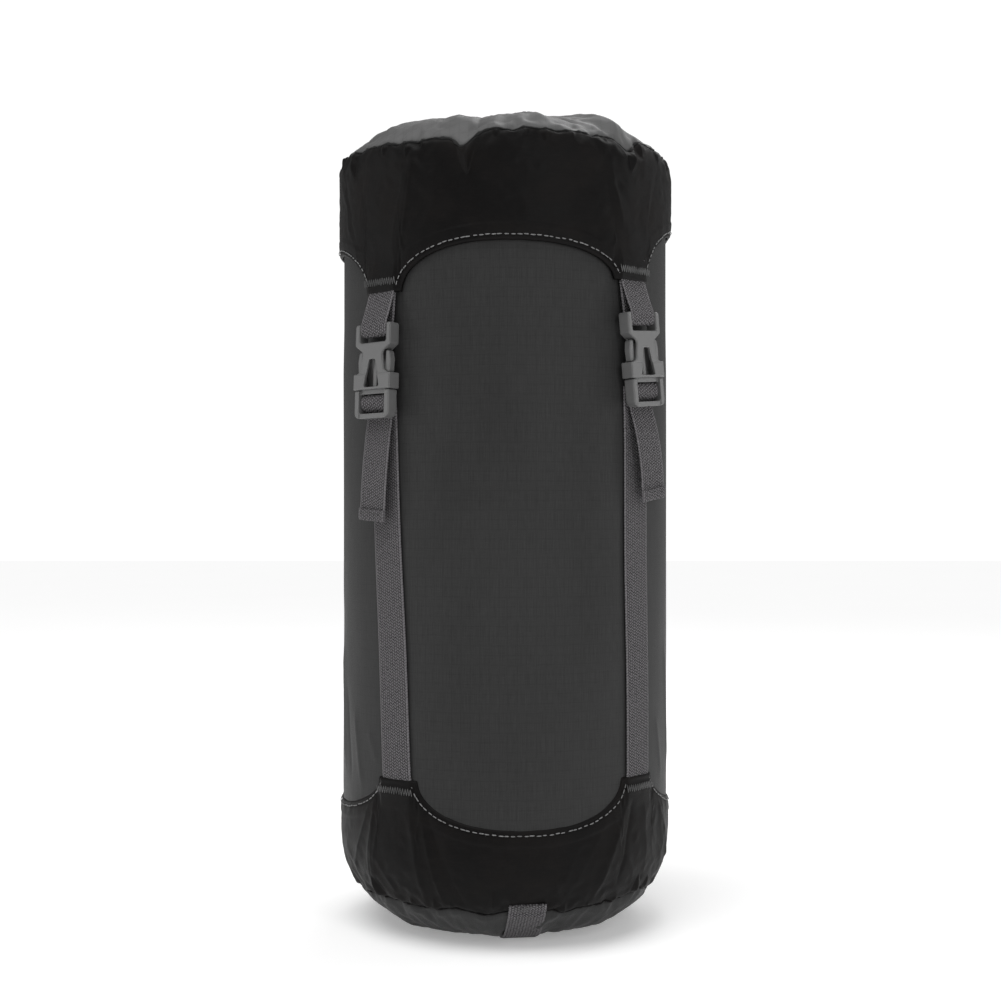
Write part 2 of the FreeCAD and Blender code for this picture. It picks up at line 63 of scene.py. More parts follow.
# Sizes read from the CAD nodes
TUBE_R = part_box("body_tube")[1].x
TUBE_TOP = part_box("body_tube")[1].z
CUFF_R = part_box("base_cuff")[1].x
LID_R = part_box("lid_cuff")[1].x
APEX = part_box("lid_panel")[1].z
BASE_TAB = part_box("base_cuff")[1].z
COLLAR_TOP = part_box("mouth_collar")[1].z
CHANNEL_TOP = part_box("cord_channel")[1].z
CHANNEL_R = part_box("cord_channel")[1].x

# Sizes of the soft parts
TAB_LENGTH = 22 * MM
BASE_SEAM_ANGLE = math.radians(54)
LID_SEAM_ANGLE = math.radians(32)
FOOT_R = 40 * MM
CORNER_R = CUFF_R - FOOT_R
BASE_SEAM_S = FOOT_R + CORNER_R * BASE_SEAM_ANGLE
BASE_WALL_S = FOOT_R + CORNER_R * math.pi / 2
BASE_HEM = BASE_TAB - TAB_LENGTH
SHOULDER_R = 26 * MM
DOME_R = 215 * MM
SHOULDER_X = LID_R - SHOULDER_R
DOME_Z = APEX - DOME_R
SHOULDER_Z = DOME_Z + math.sqrt((DOME_R - SHOULDER_R) ** 2 - SHOULDER_X ** 2)
DOME_A = math.acos(SHOULDER_X / (DOME_R - SHOULDER_R))
LID_SEAM_S = SHOULDER_Z + SHOULDER_R * LID_SEAM_ANGLE
LID_APEX_S = SHOULDER_Z + SHOULDER_R * DOME_A + DOME_R * (math.pi / 2 - DOME_A)
LID_HEM = APEX - 79 * MM
WEB_W = 19 * MM
WEB_T = 1.0 * MM
TUBE_LOW = 52 * MM
CLOTH_T = 0.8 * MM

# Sewing
TOPSTITCH_INSET = 2.7 * MM
TOPSTITCH_THREAD = 0.27 * MM
TACK_THREAD = 0.22 * MM
TACK_WIDTH = 23 * MM
STITCH_PITCH = 3.2 * MM

# A prong's pivot in its buckle's frame, and the share of the simulated cloth's sideways moves that is used
PIVOT_UP = 15.5 * MM
PIVOT_OUT = 3.2 * MM
SIDE_SHARE = 0.6

STRAPS = ("front_left", "front_right", "rear_right", "rear_left")
COLUMNS = 480


# Joints and where each strap is


def joint(name):
    return next(j for j in frame["joints"] if j["name"] == name)


def vec(values):
    return np.array(values, float)


def unit(v):
    return v / np.linalg.norm(v)


def unit_rows(v):
    return v / np.linalg.norm(v, axis=-1)[..., None]


def round_axis(radius, azimuth, height):
    """Points at a radius, azimuth and height."""
    return np.stack([radius * np.sin(azimuth), -radius * np.cos(azimuth), height], -1)


def azimuth_of(p):
    return math.atan2(p[0], -p[1])


def node_azimuth(node, height, span):
    """Azimuth of the part of a node within span of a height."""
    co = np.array([v.co for v in frame["nodes"][node].data.vertices])
    near = co[np.abs(co[:, 2] - height) < span].mean(0)
    return azimuth_of(near)


def strap_facts(name):
    """Where a strap's tabs are, and the frame of its buckle: across, up along the buckle, and outwards."""
    left = joint("press_left_" + name)
    right = joint("press_right_" + name)
    a = vec(left["pos_m"])
    b = vec(right["pos_m"])
    across = unit(b - a)
    up = -unit(vec(joint("release_" + name)["axis"]))
    across = unit(across - up * (across @ up))
    out = np.cross(across, up)
    centre = (a + b) / 2 - up * PIVOT_UP - out * PIVOT_OUT
    run = "strap_run_" + name
    base = node_azimuth(run, BASE_TAB, 2 * MM)
    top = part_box(run)[1].z
    return {
        "base": base,
        "top": top,
        "top_azimuth": node_azimuth(run, top, 1 * MM),
        "lid": node_azimuth("anchor_loop_" + name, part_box("anchor_loop_" + name)[1].z, 2 * MM),
        "lid_tab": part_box("anchor_loop_" + name)[1].z + 0.5 * MM,
        "across": across,
        "up": up,
        "out": out,
        "origin": centre,
    }


FACTS = {name: strap_facts(name) for name in STRAPS}


def wrapped(angle):
    return (np.asarray(angle) + math.pi) % TAU - math.pi


# Simulated cloth: a short bag under pressure, whose rims pucker


SIM_R = 89.5 * MM
SIM_H = 150 * MM
SIM_STEP = 3.9 * MM


def bag_mesh():
    """Cylinder of near-equilateral triangles with a flat disc at each end."""
    n = int(round(TAU * SIM_R / SIM_STEP))
    rows = int(round(SIM_H / (SIM_STEP * math.sqrt(3) / 2)))
    verts = []
    faces = []
    for j in range(rows + 1):
        for i in range(n):
            a = TAU * (i + 0.5 * (j % 2)) / n
            verts.append((SIM_R * math.cos(a), SIM_R * math.sin(a), SIM_H * j / rows))
    for j in range(rows):
        for i in range(n):
            a = j * n + i
            b = j * n + (i + 1) % n
            c = a + n
            d = b + n
            if j % 2 == 0:
                faces += [(a, b, c), (b, d, c)]
            else:
                faces += [(a, d, c), (a, b, d)]
    row_height = SIM_STEP * math.sqrt(3) / 2
    count = int(SIM_R / row_height) + 1
    for j, z, flip in ((0, 0.0, True), (rows, SIM_H, False)):
        rim = [verts[j * n + i][:2] for i in range(n)]
        inner = []
        for row in range(-count, count + 1):
            for k in range(-count, count + 1):
                x = (k + 0.5 * (row % 2)) * SIM_STEP
                y = row * row_height
                if math.hypot(x, y) < SIM_R - 0.55 * SIM_STEP:
                    inner.append((x, y))
        edges = [(i, (i + 1) % n) for i in range(n)]
        points, _, triangles, origins, _, _ = delaunay_2d_cdt(
            [Vector(p) for p in rim + inner], edges, [], 1, 1e-9
        )
        index = {}
        for k, (point, origin) in enumerate(zip(points, origins)):
            if origin and origin[0] < n:
                index[k] = j * n + origin[0]
            else:
                index[k] = len(verts)
                verts.append((point.x, point.y, z))
        for triangle in triangles:
            corners = [index[k] for k in triangle]
            faces.append(tuple(reversed(corners)) if flip else tuple(corners))
    mesh = bpy.data.meshes.new("bag")
    mesh.from_pydata(verts, [], faces)
    return mesh, np.array(verts)


def simulated_bag():
    """Rest and final places of the bag's points after a short cloth simulation."""
    mesh, rest = bag_mesh()
    rng = np.random.default_rng(7)
    mesh.vertices.foreach_set("co", (rest + rng.normal(0, 0.00015, rest.shape)).ravel())
    mesh.update()
    bag = bpy.data.objects.new("bag", mesh)
    bpy.context.scene.collection.objects.link(bag)
    cloth = bag.modifiers.new("cloth", "CLOTH")
    s = cloth.settings
    s.quality = 6
    s.mass = 0.05
    s.air_damping = 1.0
    s.tension_stiffness = 60
    s.compression_stiffness = 30
    s.shear_stiffness = 8
    s.bending_stiffness = 0.01
    s.tension_damping = s.compression_damping = s.shear_damping = 5
    s.bending_damping = 0.5
    s.use_pressure = True
    s.uniform_pressure_force = 40
    s.effector_weights.gravity = 0
    cloth.collision_settings.use_collision = False
    cloth.collision_settings.use_self_collision = False
    frames = 45
    cloth.point_cache.frame_end = frames
    for f in range(1, frames + 1):
        bpy.context.scene.frame_set(f)
    shaped = bag.evaluated_get(bpy.context.evaluated_depsgraph_get()).to_mesh()
    final = np.array([v.co for v in shaped.vertices])
    faces = [tuple(p.vertices) for p in mesh.polygons]
    bpy.context.scene.frame_set(1)
    bpy.data.objects.remove(bag)
    return rest, final, faces


RIM_T = np.arange(-62, 88.1, 1.5) * MM


def rim_field(rest, final, tree, faces, top):
    """Residual of the bag from its mean shape near one rim, for each t and azimuth: along, outwards, round.

    t is the distance from the rim over the disc, and negative down the wall.
    """
    edge = SIM_H if top else 0.0
    inwards = 1 if top else -1
    azimuths = np.arange(COLUMNS) * TAU / COLUMNS
    places = np.empty((len(RIM_T), COLUMNS, 3))
    for j, t in enumerate(RIM_T):
        radius = SIM_R - max(t, 0.0)
        z = edge + inwards * min(t, 0.0)
        for i, a in enumerate(azimuths):
            point = Vector((radius * math.sin(a), -radius * math.cos(a), z))
            near, _, face, _ = tree.find_nearest(point)
            u, v, w = (Vector(rest[k]) for k in faces[face])
            normal = (v - u).cross(w - u)
            area = normal.length_squared
            c = (v - u).cross(near - u).dot(normal) / area
            b = (near - u).cross(w - u).dot(normal) / area
            ku, kv, kw = faces[face]
            places[j, i] = final[ku] * (1 - b - c) + final[kv] * b + final[kw] * c
    ca, sa = np.cos(azimuths), np.sin(azimuths)
    radial = places[..., 0] * sa - places[..., 1] * ca
    round_ = places[..., 0] * ca + places[..., 1] * sa
    height = (places[..., 2] - edge) * inwards
    mean_r = radial.mean(1)
    mean_z = height.mean(1)
    along_r = np.gradient(mean_r)
    along_z = np.gradient(mean_z)
    length = np.hypot(along_r, along_z)
    along_r, along_z = along_r / length, along_z / length
    dr = radial - mean_r[:, None]
    dz = height - mean_z[:, None]
    along = dr * along_r[:, None] + dz * along_z[:, None]
    outwards = dr * along_z[:, None] - dz * along_r[:, None]
    return np.stack([along, outwards, round_], 2)


def rim_fields():
    rest, final, faces = simulated_bag()
    tree = BVHTree.FromPolygons([Vector(p) for p in rest], faces)
    return tuple(rim_field(rest, final, tree, faces, top) for top in (False, True))


def sampled(field, t, azimuth):
    """Bilinear reading of a rim field, which goes round in azimuth."""
    step = RIM_T[1] - RIM_T[0]
    j = np.clip((t - RIM_T[0]) / step, 0, len(RIM_T) - 1.001)
    i = (azimuth % TAU) / TAU * COLUMNS
    j0 = j.astype(int)
    i0 = i.astype(int) % COLUMNS
    i1 = (i0 + 1) % COLUMNS
    fj = (j - j0)[..., None]
    fi = (i - np.floor(i))[..., None]
    low = field[j0, i0] * (1 - fi) + field[j0, i1] * fi
    high = field[j0 + 1, i0] * (1 - fi) + field[j0 + 1, i1] * fi
    return low * (1 - fj) + high * fj


BASE_RIM, LID_RIM = rim_fields()


# Creases and lumps


def noise_at(points, scale, seed):
    """Smooth noise at points, from -1 to 1."""
    shift = Vector((seed * 7.3, seed * 3.1, seed * 5.7))
    sx, sy, sz = scale
    flat = points.reshape(-1, 3)
    made = [noise.noise(Vector((x * sx, y * sy, z * sz)) + shift) for x, y, z in flat]
    return np.array(made).reshape(points.shape[:-1])


def ridged(points, scale, seed):
    """Noise with sharp crests, from 0 to 1."""
    return (1 - np.minimum(np.abs(noise_at(points, scale, seed)) * 2.6, 1)) ** 2


def crease(x, y, start, end, width, height):
    """Crisp ridge or valley along a line, which fades at both ends."""
    dx, dy = end[0] - start[0], end[1] - start[1]
    length = math.hypot(dx, dy)
    along = ((x - start[0]) * dx + (y - start[1]) * dy) / length ** 2
    off = np.abs((x - start[0]) * dy - (y - start[1]) * dx) / length
    fade = np.clip(np.minimum(along + 0.12, 1.12 - along) / 0.3, 0, 1)
    fade = fade * fade * (3 - 2 * fade)
    return height * fade * np.exp(-(np.sqrt(off ** 2 + (0.12 * width) ** 2) - 0.12 * width) / width)


def fan(tab_azimuth, seed, count, low, high, spread):
    """Creases that run from a tab towards a seam, as (start, end, width, height) in metres round and up."""
    rng = np.random.default_rng(seed)
    lines = []
    for k in range(count):
        side = -1 if k % 2 else 1
        start = (side * rng.uniform(4, 24) * MM, low + rng.uniform(-5, 8) * MM)
        end_x = start[0] * rng.uniform(1.1, 1.7) + side * rng.uniform(0, spread)
        end = (end_x, high + rng.uniform(-8, 12) * MM)
        sign = 1 if rng.random() < 0.72 else -1
        width = rng.uniform(1.5, 3.6) * MM
        lines.append((tab_azimuth, start, end, width, sign * rng.uniform(0.25, 0.7) * MM))
    return lines


BASE_CREASES = []
LID_CREASES = []
for number, strap in enumerate(STRAPS):
    BASE_CREASES += fan(FACTS[strap]["base"], 40 + number, 9, BASE_HEM + 4 * MM, 24 * MM, 16 * MM)
    LID_CREASES += fan(FACTS[strap]["lid"], 60 + number, 6, LID_HEM + 4 * MM, LID_SEAM_S - 14 * MM, 10 * MM)

# Creases of the lid's panel, seen from above: start, end, width and height
DOME_CREASES = [
    ((0.024, -0.002), (0.060, -0.070), 6 * MM, 4.2 * MM),
    ((-0.030, -0.012), (-0.066, -0.054), 6 * MM, 3.0 * MM),
    ((-0.010, -0.030), (-0.015, -0.094), 3.5 * MM, -2.2 * MM),
    ((-0.024, -0.024), (-0.024, -0.090), 5 * MM, 1.4 * MM),
    ((-0.052, -0.058), (-0.082, -0.036), 4 * MM, -1.6 * MM),
    ((-0.028, -0.012), (0.024, -0.004), 9 * MM, 1.4 * MM),
    ((0.006, -0.024), (0.020, -0.086), 5 * MM, 1.5 * MM),
    ((0.030, -0.046), (0.038, -0.086), 5 * MM, -1.8 * MM),
    ((0.062, -0.044), (0.082, -0.052), 3 * MM, -1.4 * MM),
    ((0.012, 0.024), (0.044, 0.082), 9 * MM, 1.7 * MM),
    ((-0.022, 0.020), (-0.012, 0.086), 8 * MM, 1.4 * MM),
    ((-0.045, 0.004), (-0.088, 0.018), 7 * MM, 1.6 * MM),
    ((0.044, 0.006), (0.088, 0.024), 6 * MM, 1.3 * MM),
    ((-0.040, 0.040), (-0.062, 0.066), 4 * MM, -1.3 * MM),
    ((0.030, 0.058), (0.034, 0.090), 4 * MM, -1.1 * MM),
]

# Puckers beside the seams: azimuth in degrees, then half width, depth below the seam and height in mm
PUCKERS = [
    (-60, 6, 15, 3.0), (-43, 4, 7, 1.4), (-33, 5, 8, 1.6), (-27, 3, 5, 1.0), (-12, 6.5, 15, 3.4),
    (-3, 3, 5, 0.9), (6, 4, 7, 1.3), (13, 4.5, 8, 1.5), (22, 3, 5, 1.0), (35, 3, 5, 0.9),
    (45, 5.5, 12, 2.8), (52, 4, 9, 1.8), (63, 4, 8, 1.2), (75, 5, 9, 1.5), (91, 4, 7, 1.1),
    (104, 5, 10, 1.6), (117, 4, 7, 1.2), (131, 5, 9, 1.5), (146, 4, 8, 1.3), (158, 5, 11, 1.7),
    (171, 4, 7, 1.2), (183, 4.5, 9, 1.5), (196, 4, 7, 1.1), (209, 5, 10, 1.7), (222, 4, 8, 1.2),
    (235, 5, 9, 1.5), (249, 4, 7, 1.1), (262, 5, 10, 1.6), (275, 4, 8, 1.3), (288, 5, 9, 1.4),
]


def pucker_height(azimuth, t, radius, sign, shift):
    """Triangular puckers that widen towards the seam, on the wall side of it."""
    total = np.zeros(np.broadcast(azimuth, t).shape)
    for degrees, half, depth, height in PUCKERS:
        x = wrapped(azimuth - math.radians(degrees + shift)) * radius
        down = np.clip(-t / (depth * MM), 0, 1)
        width = half * MM * (1.05 - down)
        tent = np.clip(1 - np.abs(x) / width, 0, 1)
        total += sign * height * MM * tent * np.sin(math.pi * np.clip(down * 0.9 + 0.12, 0, 1))
    return total


def bump_sum(azimuth, spots):
    """Sum of round bumps over azimuth, from (degrees, half width in degrees, height in mm)."""
    total = np.zeros(np.shape(azimuth))
    for degrees, width, height in spots:
        total += height * MM * np.exp(-(np.degrees(wrapped(azimuth - math.radians(degrees))) / width) ** 2)
    return total


# Waves of the two seams: azimuth in degrees, half width in degrees, height in mm
LID_WAVES = [
    (-28, 26, -4.6), (-60, 8, -1.6), (-13, 3.2, -6.5), (-5, 4, 1.2), (8, 10, 0.8), (32, 9, 0.8),
    (45, 4.0, -6.0), (57, 5, 2.4), (100, 14, 1.5), (135, 7, -1.8), (170, 12, 1.2), (205, 6, -1.8),
    (240, 12, 1.4), (275, 7, -1.5),
]
BASE_WAVES = [
    (-48, 8, 1.0), (-30, 5, -1.0), (-17, 4, 1.4), (-8, 4, -1.2), (3, 4, 1.0), (22, 4, -1.4),
    (33, 6, 0.8), (56, 9, 4.0), (76, 5, -1.2), (110, 10, 1.6), (150, 8, -1.6), (185, 9, 1.4),
    (220, 7, -1.6), (255, 9, 1.6),
]


def jitter(azimuth, seed):
    """Small irregular waves of a seam."""
    total = np.zeros(np.shape(azimuth))
    rng = np.random.default_rng(seed)
    for turns in (9, 14, 23, 37, 58):
        total += 0.9 / math.sqrt(turns) * np.sin(turns * azimuth + rng.uniform(0, TAU))
    return total * MM


def lid_seam(azimuth):
    return LID_SEAM_S - 1.2 * MM + bump_sum(azimuth, LID_WAVES) + jitter(azimuth, 3)


def base_seam(azimuth):
    return BASE_SEAM_S + bump_sum(azimuth, BASE_WAVES) + jitter(azimuth, 5)


# Outlines of the cuffs


TAB_END = 13 * MM


def neighbours(which):
    """Azimuths of the tabs in order round the sack, with their names."""
    return sorted((FACTS[name][which] % TAU, name) for name in STRAPS)


def hem_line(azimuth, which, radius, level, length, sign, arches):
    """Height of a cuff's hem: straight across each tab's end and an arch from each tab to the next."""
    azimuth = np.asarray(azimuth, float)
    tabs = neighbours(which)
    height = np.zeros(azimuth.shape)
    for k, (here, name) in enumerate(tabs):
        there, other = tabs[(k + 1) % len(tabs)]
        gap = (there - here) % TAU
        x = ((azimuth - here) % TAU) * radius
        span = gap * radius
        inside = x < span
        middle = span / 2
        reach = middle - TAB_END
        share = np.clip(np.abs(x - middle) / reach, 0, 1)
        arch = 1 - np.sqrt(np.clip(1 - share ** 2.3, 0, 1))
        first, last = length[name], length[other]
        tall = np.where(x < middle, first, last)
        sag = arches[k]
        height = np.where(inside, tall * arch - sag * (1 - arch), height)
    return level + sign * height


# How much each arch goes beyond the hem's usual height, from the front right tab on round the sack
BASE_ARCHES = (-3.0 * MM, -1.0 * MM, -3.0 * MM, 0.6 * MM)
LID_ARCHES = (14.0 * MM, 3.0 * MM, 3.0 * MM, -1.6 * MM)


def base_hem(azimuth):
    lengths = {name: BASE_TAB - BASE_HEM for name in STRAPS}
    return hem_line(azimuth, "base", CUFF_R, BASE_HEM, lengths, 1, BASE_ARCHES)


def lid_hem(azimuth):
    lengths = {name: LID_HEM - FACTS[name]["lid_tab"] for name in STRAPS}
    return hem_line(azimuth, "lid", LID_R, LID_HEM, lengths, -1, LID_ARCHES)


def over_webbing(azimuth, z, which, sign, height):
    """Lift of a tab where webbing is sewn under it, as far as 16 mm from its end."""
    lift = np.zeros(np.broadcast(azimuth, z).shape)
    for name in STRAPS:
        end = FACTS[name]["lid_tab"] if which == "lid" else BASE_TAB
        x = np.abs(wrapped(azimuth - FACTS[name][which])) * CUFF_R
        across = np.clip((WEB_W / 2 + 2.2 * MM - x) / (2.4 * MM), 0, 1)
        along = np.clip((16 * MM - sign * (end - z)) / (7 * MM), 0, 1)
        lift = np.maximum(lift, height * across * across * (3 - 2 * across) * along)
    return lift


# Skins: outer surfaces as functions of azimuth and of distance s along their profile


def base_profile(s):
    a = np.clip((s - FOOT_R) / CORNER_R, 0, math.pi / 2)
    radius = np.where(s < FOOT_R, s, FOOT_R + CORNER_R * np.sin(a))
    height = CORNER_R * (1 - np.cos(a)) + np.maximum(s - BASE_WALL_S, 0)
    return radius, height, np.sin(a), -np.cos(a)


def base_s(z):
    """Distance along the base's profile at a height of its wall."""
    return z + BASE_WALL_S - CORNER_R


def base_height(s):
    """Height of the base's wall at a distance along its profile."""
    return s - BASE_WALL_S + CORNER_R


def lid_profile(s):
    a = np.clip((s - SHOULDER_Z) / SHOULDER_R, 0, DOME_A)
    rest = np.maximum(s - SHOULDER_Z - SHOULDER_R * DOME_A, 0)
    b = DOME_A + rest / DOME_R
    on_dome = rest > 0
    angle = np.where(on_dome, b, a)
    radius = np.where(on_dome, DOME_R * np.cos(b), SHOULDER_X + SHOULDER_R * np.cos(a))
    below_dome = np.minimum(s, SHOULDER_Z) + SHOULDER_R * np.sin(a)
    height = np.where(on_dome, DOME_Z + DOME_R * np.sin(b), below_dome)
    return radius, height, np.cos(angle), np.sin(angle)


def base_offsets(azimuth, s):
    """Along, outward and round offsets of the base."""
    t = base_seam(azimuth) - s
    scale = (base_seam(azimuth)) / (86 * MM)
    field = sampled(BASE_RIM, np.where(t > 0, t / scale, t * 1.1), azimuth)
    fade = np.clip(1 - np.maximum(-t - 22 * MM, 0) / (55 * MM), 0, 1)
    along, outward, round_ = (field[..., k] * fade for k in range(3))
    for origin, start, end, width, height in BASE_CREASES:
        x = wrapped(azimuth - origin) * CUFF_R
        near = np.abs(x) < 90 * MM
        outward = outward + np.where(near, crease(x, base_height(s), start, end, width, height), 0)
    flat = np.clip(s / FOOT_R, 0, 1)
    outward = outward * np.where(s < FOOT_R, flat ** 3, 1)
    outward = outward - 1.2 * MM * np.exp(-(t / (1.6 * MM)) ** 2)
    outward = outward + 0.6 * pucker_height(azimuth, t, CUFF_R, 1, 8)
    return along, outward, round_


def lid_offsets(azimuth, s):
    seam = lid_seam(azimuth)
    t = s - seam
    scale = (LID_APEX_S - seam) / (88 * MM)
    field = sampled(LID_RIM, np.where(t > 0, t / scale, t * 1.2), azimuth)
    fade = np.clip(1 - np.maximum(-t - 20 * MM, 0) / (60 * MM), 0.25, 1)
    along, outward, round_ = (field[..., k] * fade for k in range(3))
    for origin, start, end, width, height in LID_CREASES:
        x = wrapped(azimuth - origin) * LID_R
        near = np.abs(x) < 90 * MM
        outward = outward + np.where(near, crease(x, s, start, end, width, 0.7 * height), 0)
    radius = lid_profile(s)[0]
    px, py = radius * np.sin(azimuth), -radius * np.cos(azimuth)
    on_dome = np.clip((s - seam) / (8 * MM), 0, 1)
    folds = np.zeros(np.shape(outward))
    for start, end, width, height in DOME_CREASES:
        folds = folds + crease(px, py, start, end, width, height)
    outward = outward + (folds - 2.4 * MM) * on_dome
    outward = outward - 1.0 * MM * np.exp(-(t / (1.5 * MM)) ** 2)
    outward = outward + pucker_height(azimuth, t, LID_R, 1, 0)
    return along, outward, round_


def placed(profile, offsets, azimuth, s, lift, points_noise):
    radius, height, nr, nz = profile(s)
    along, outward, round_ = offsets(azimuth, s)
    outward = outward + lift + points_noise(round_axis(radius, azimuth, height), s)
    r = radius + nr * outward - nz * along * SIDE_SHARE
    z = height + nz * outward + nr * along * SIDE_SHARE
    turn = round_ / np.maximum(radius, 20 * MM) * SIDE_SHARE
    return round_axis(r, azimuth + turn, z)


def base_noise(points, s):
    crinkle = 0.30 * MM * ridged(points, (52, 52, 40), 2) + 0.35 * MM * noise_at(points, (30, 30, 22), 4)
    return crinkle * np.clip(s / FOOT_R, 0, 1) ** 2


def lid_noise(points, s):
    return 0.26 * MM * ridged(points, (48, 48, 34), 6) + 0.45 * MM * noise_at(points, (24, 24, 14), 8)


def base_skin(azimuth, s, lift):
    points = placed(base_profile, base_offsets, azimuth, s, lift, base_noise)
    points[..., 2] = np.maximum(points[..., 2], 0.0 - np.minimum(lift, 0.0))
    return points


def lid_skin(azimuth, s, lift):
    return placed(lid_profile, lid_offsets, azimuth, s, lift, lid_noise)


def tube_offset(azimuth, z):
    """Outward offset with which the tube follows the base near the bottom."""
    outward = base_offsets(azimuth, base_s(z))[1]
    near = np.clip((BASE_TAB + 26 * MM - z) / (30 * MM), 0, 1)
    near = near * near * (3 - 2 * near)
    return outward * near


# Folds of the tube: azimuth in degrees, then lower end, upper end, width and height in mm
TUBE_FOLDS = [
    (-82, 96, 172, 3.0, -0.8), (-76, 84, 150, 3.5, 0.9), (-69, 82, 128, 2.5, -0.7),
    (-60, 80, 116, 3.0, 0.8), (-50, 92, 108, 2.0, 0.5), (76, 84, 150, 3.0, 0.8),
    (88, 80, 140, 2.5, -0.7), (66, 82, 112, 2.5, 0.6), (120, 82, 140, 3.0, 0.8),
    (164, 76, 150, 3.0, 0.7), (196, 76, 132, 3.0, -0.7), (212, 82, 128, 2.5, 0.7),
    (252, 84, 150, 3.0, 0.8), (-6, 348, 364, 2.5, -0.7), (-22, 340, 358, 2.5, -0.6),
    (16, 344, 360, 3.0, -0.6), (34, 330, 352, 2.5, 0.6), (-30, 322, 345, 2.5, -0.6),
    (100, 330, 358, 3.0, -0.7), (-95, 332, 358, 3.0, -0.7),
]


def tube_skin(azimuth, z, lift):
    azimuth, z = np.broadcast_arrays(azimuth, z)
    outward = tube_offset(azimuth, z)
    base = round_axis(TUBE_R, azimuth, z)
    for degrees, low, high, width, height in TUBE_FOLDS:
        x = wrapped(azimuth - math.radians(degrees)) * TUBE_R
        lean = 4 * MM if low < 200 else -3 * MM
        outward = outward + crease(x, z, (lean, low * MM), (-lean, high * MM), width * MM, height * MM)
    outward = outward + 0.55 * MM * noise_at(base, (16, 16, 5), 11)
    outward = outward + 0.16 * MM * noise_at(base, (60, 60, 9), 12)
    under_lid = np.clip((z - LID_HEM + 60 * MM) / (24 * MM), 0, 1)
    outward = outward * (1 - 0.65 * under_lid) - 0.35 * MM * under_lid
    return round_axis(TUBE_R + outward + lift, azimuth, z)


# Meshes


def new_piece(name, verts, faces, uvs=None):
    mesh = bpy.data.meshes.new(name)
    mesh.from_pydata(np.asarray(verts).tolist(), [], faces)
    if uvs is not None:
        layer = mesh.uv_layers.new(name="cloth")
        loops = np.empty(len(mesh.loops), int)
        mesh.loops.foreach_get("vertex_index", loops)
        layer.data.foreach_set("uv", np.asarray(uvs, float)[loops].ravel())
    mesh.polygons.foreach_set("use_smooth", [True] * len(mesh.polygons))
    mesh.update()
    piece = bpy.data.objects.new(name, mesh)
    bpy.context.scene.collection.objects.link(piece)
    return piece


def grid_faces(rows, columns, closed, offset=0, flip=False):
    faces = []
    last = columns if closed else columns - 1
    for j in range(rows - 1):
        for i in range(last):
            a = offset + j * columns + i
            b = offset + j * columns + (i + 1) % columns
            quad = (a, b, b + columns, a + columns)
            faces.append(tuple(reversed(quad)) if flip else quad)
    return faces


def shell(name, outer, inner, uv, closed=True):
    """Closed sheet between an outer and an inner grid of points, [row, column, xyz].

    The seam of a closed grid repeats its first column, so that its UVs don't wrap.
    """
    rows, columns = outer.shape[:2]
    count = rows * columns
    verts = np.concatenate([outer.reshape(-1, 3), inner.reshape(-1, 3)])
    uvs = np.concatenate([uv.reshape(-1, 2)] * 2)
    faces = grid_faces(rows, columns, False) + grid_faces(rows, columns, False, count, True)
    for i in range(columns - 1):
        for j, turn in ((0, True), (rows - 1, False)):
            a = j * columns + i
            quad = (a, a + 1, count + a + 1, count + a)
            faces.append(tuple(reversed(quad)) if turn else quad)
    if not closed:
        for j in range(rows - 1):
            for i, turn in ((0, False), (columns - 1, True)):
                a = j * columns + i
                quad = (a, a + columns, count + a + columns, count + a)
                faces.append(tuple(reversed(quad)) if turn else quad)
    piece = new_piece(name, verts, faces, uvs)
    if closed:
        weld = piece.modifiers.new("weld", "WELD")
        weld.merge_threshold = 1e-6
        apply_modifiers(piece)
    return piece


def apply_modifiers(piece):
    shaped = piece.evaluated_get(bpy.context.evaluated_depsgraph_get())
    mesh = bpy.data.meshes.new_from_object(shaped)
    piece.modifiers.clear()
    piece.data = mesh


def round_grid(low, high, rows, columns=COLUMNS):
    """Azimuth and s grids between two lines given as functions of azimuth."""
    azimuth = np.linspace(0, TAU, columns + 1)
    share = np.linspace(0, 1, rows)[:, None]
    first = low(azimuth) if callable(low) else np.full(azimuth.shape, low)
    last = high(azimuth) if callable(high) else np.full(azimuth.shape, high)
    s = first[None, :] * (1 - share) + last[None, :] * share
    return np.broadcast_to(azimuth, s.shape), s


def sheet_on(name, skin, azimuth, s, lift, thickness, radius):
    """Closed cloth on a skin, with the given lift of its outer face and thickness."""
    lift = np.broadcast_to(lift, s.shape)
    outer = skin(azimuth, s, lift)
    inner = skin(azimuth, s, lift - thickness)
    outer[:, -1] = outer[:, 0]
    inner[:, -1] = inner[:, 0]
    uv = np.stack([azimuth * radius, s], -1)
    return shell(name, outer, inner, uv)


def hem_lift(distance):
    """Extra thickness of a turned hem, with a dip at its row of stitches."""
    fold = np.clip((9 * MM - distance) / (1.2 * MM), 0, 1)
    edge = np.clip(distance / (0.8 * MM), 0, 1)
    dip = np.exp(-((distance - TOPSTITCH_INSET) / (0.7 * MM)) ** 2)
    tuck = np.clip(1 - distance / (14 * MM), 0, 1) ** 2
    return 0.45 * MM * fold * np.sqrt(edge) - 0.3 * MM * dip - 0.4 * MM * (1 - edge) - 1.1 * MM * tuck


def at(skin, azimuth, s, lift):
    """Places and outward normals at points of a skin."""
    azimuth, s, lift = np.broadcast_arrays(np.asarray(azimuth, float), s, lift)
    step = 0.4 * MM
    p = skin(azimuth, s, lift)
    round_ = skin(azimuth + step / TUBE_R, s, lift) - p
    up = skin(azimuth, s + step, lift) - p
    return p, unit_rows(np.cross(round_, up))


CAPSULE = [(-1.0, 0.0), (-0.86, 0.6), (-0.5, 1.0), (0.5, 1.0), (0.86, 0.6), (1.0, 0.0)]


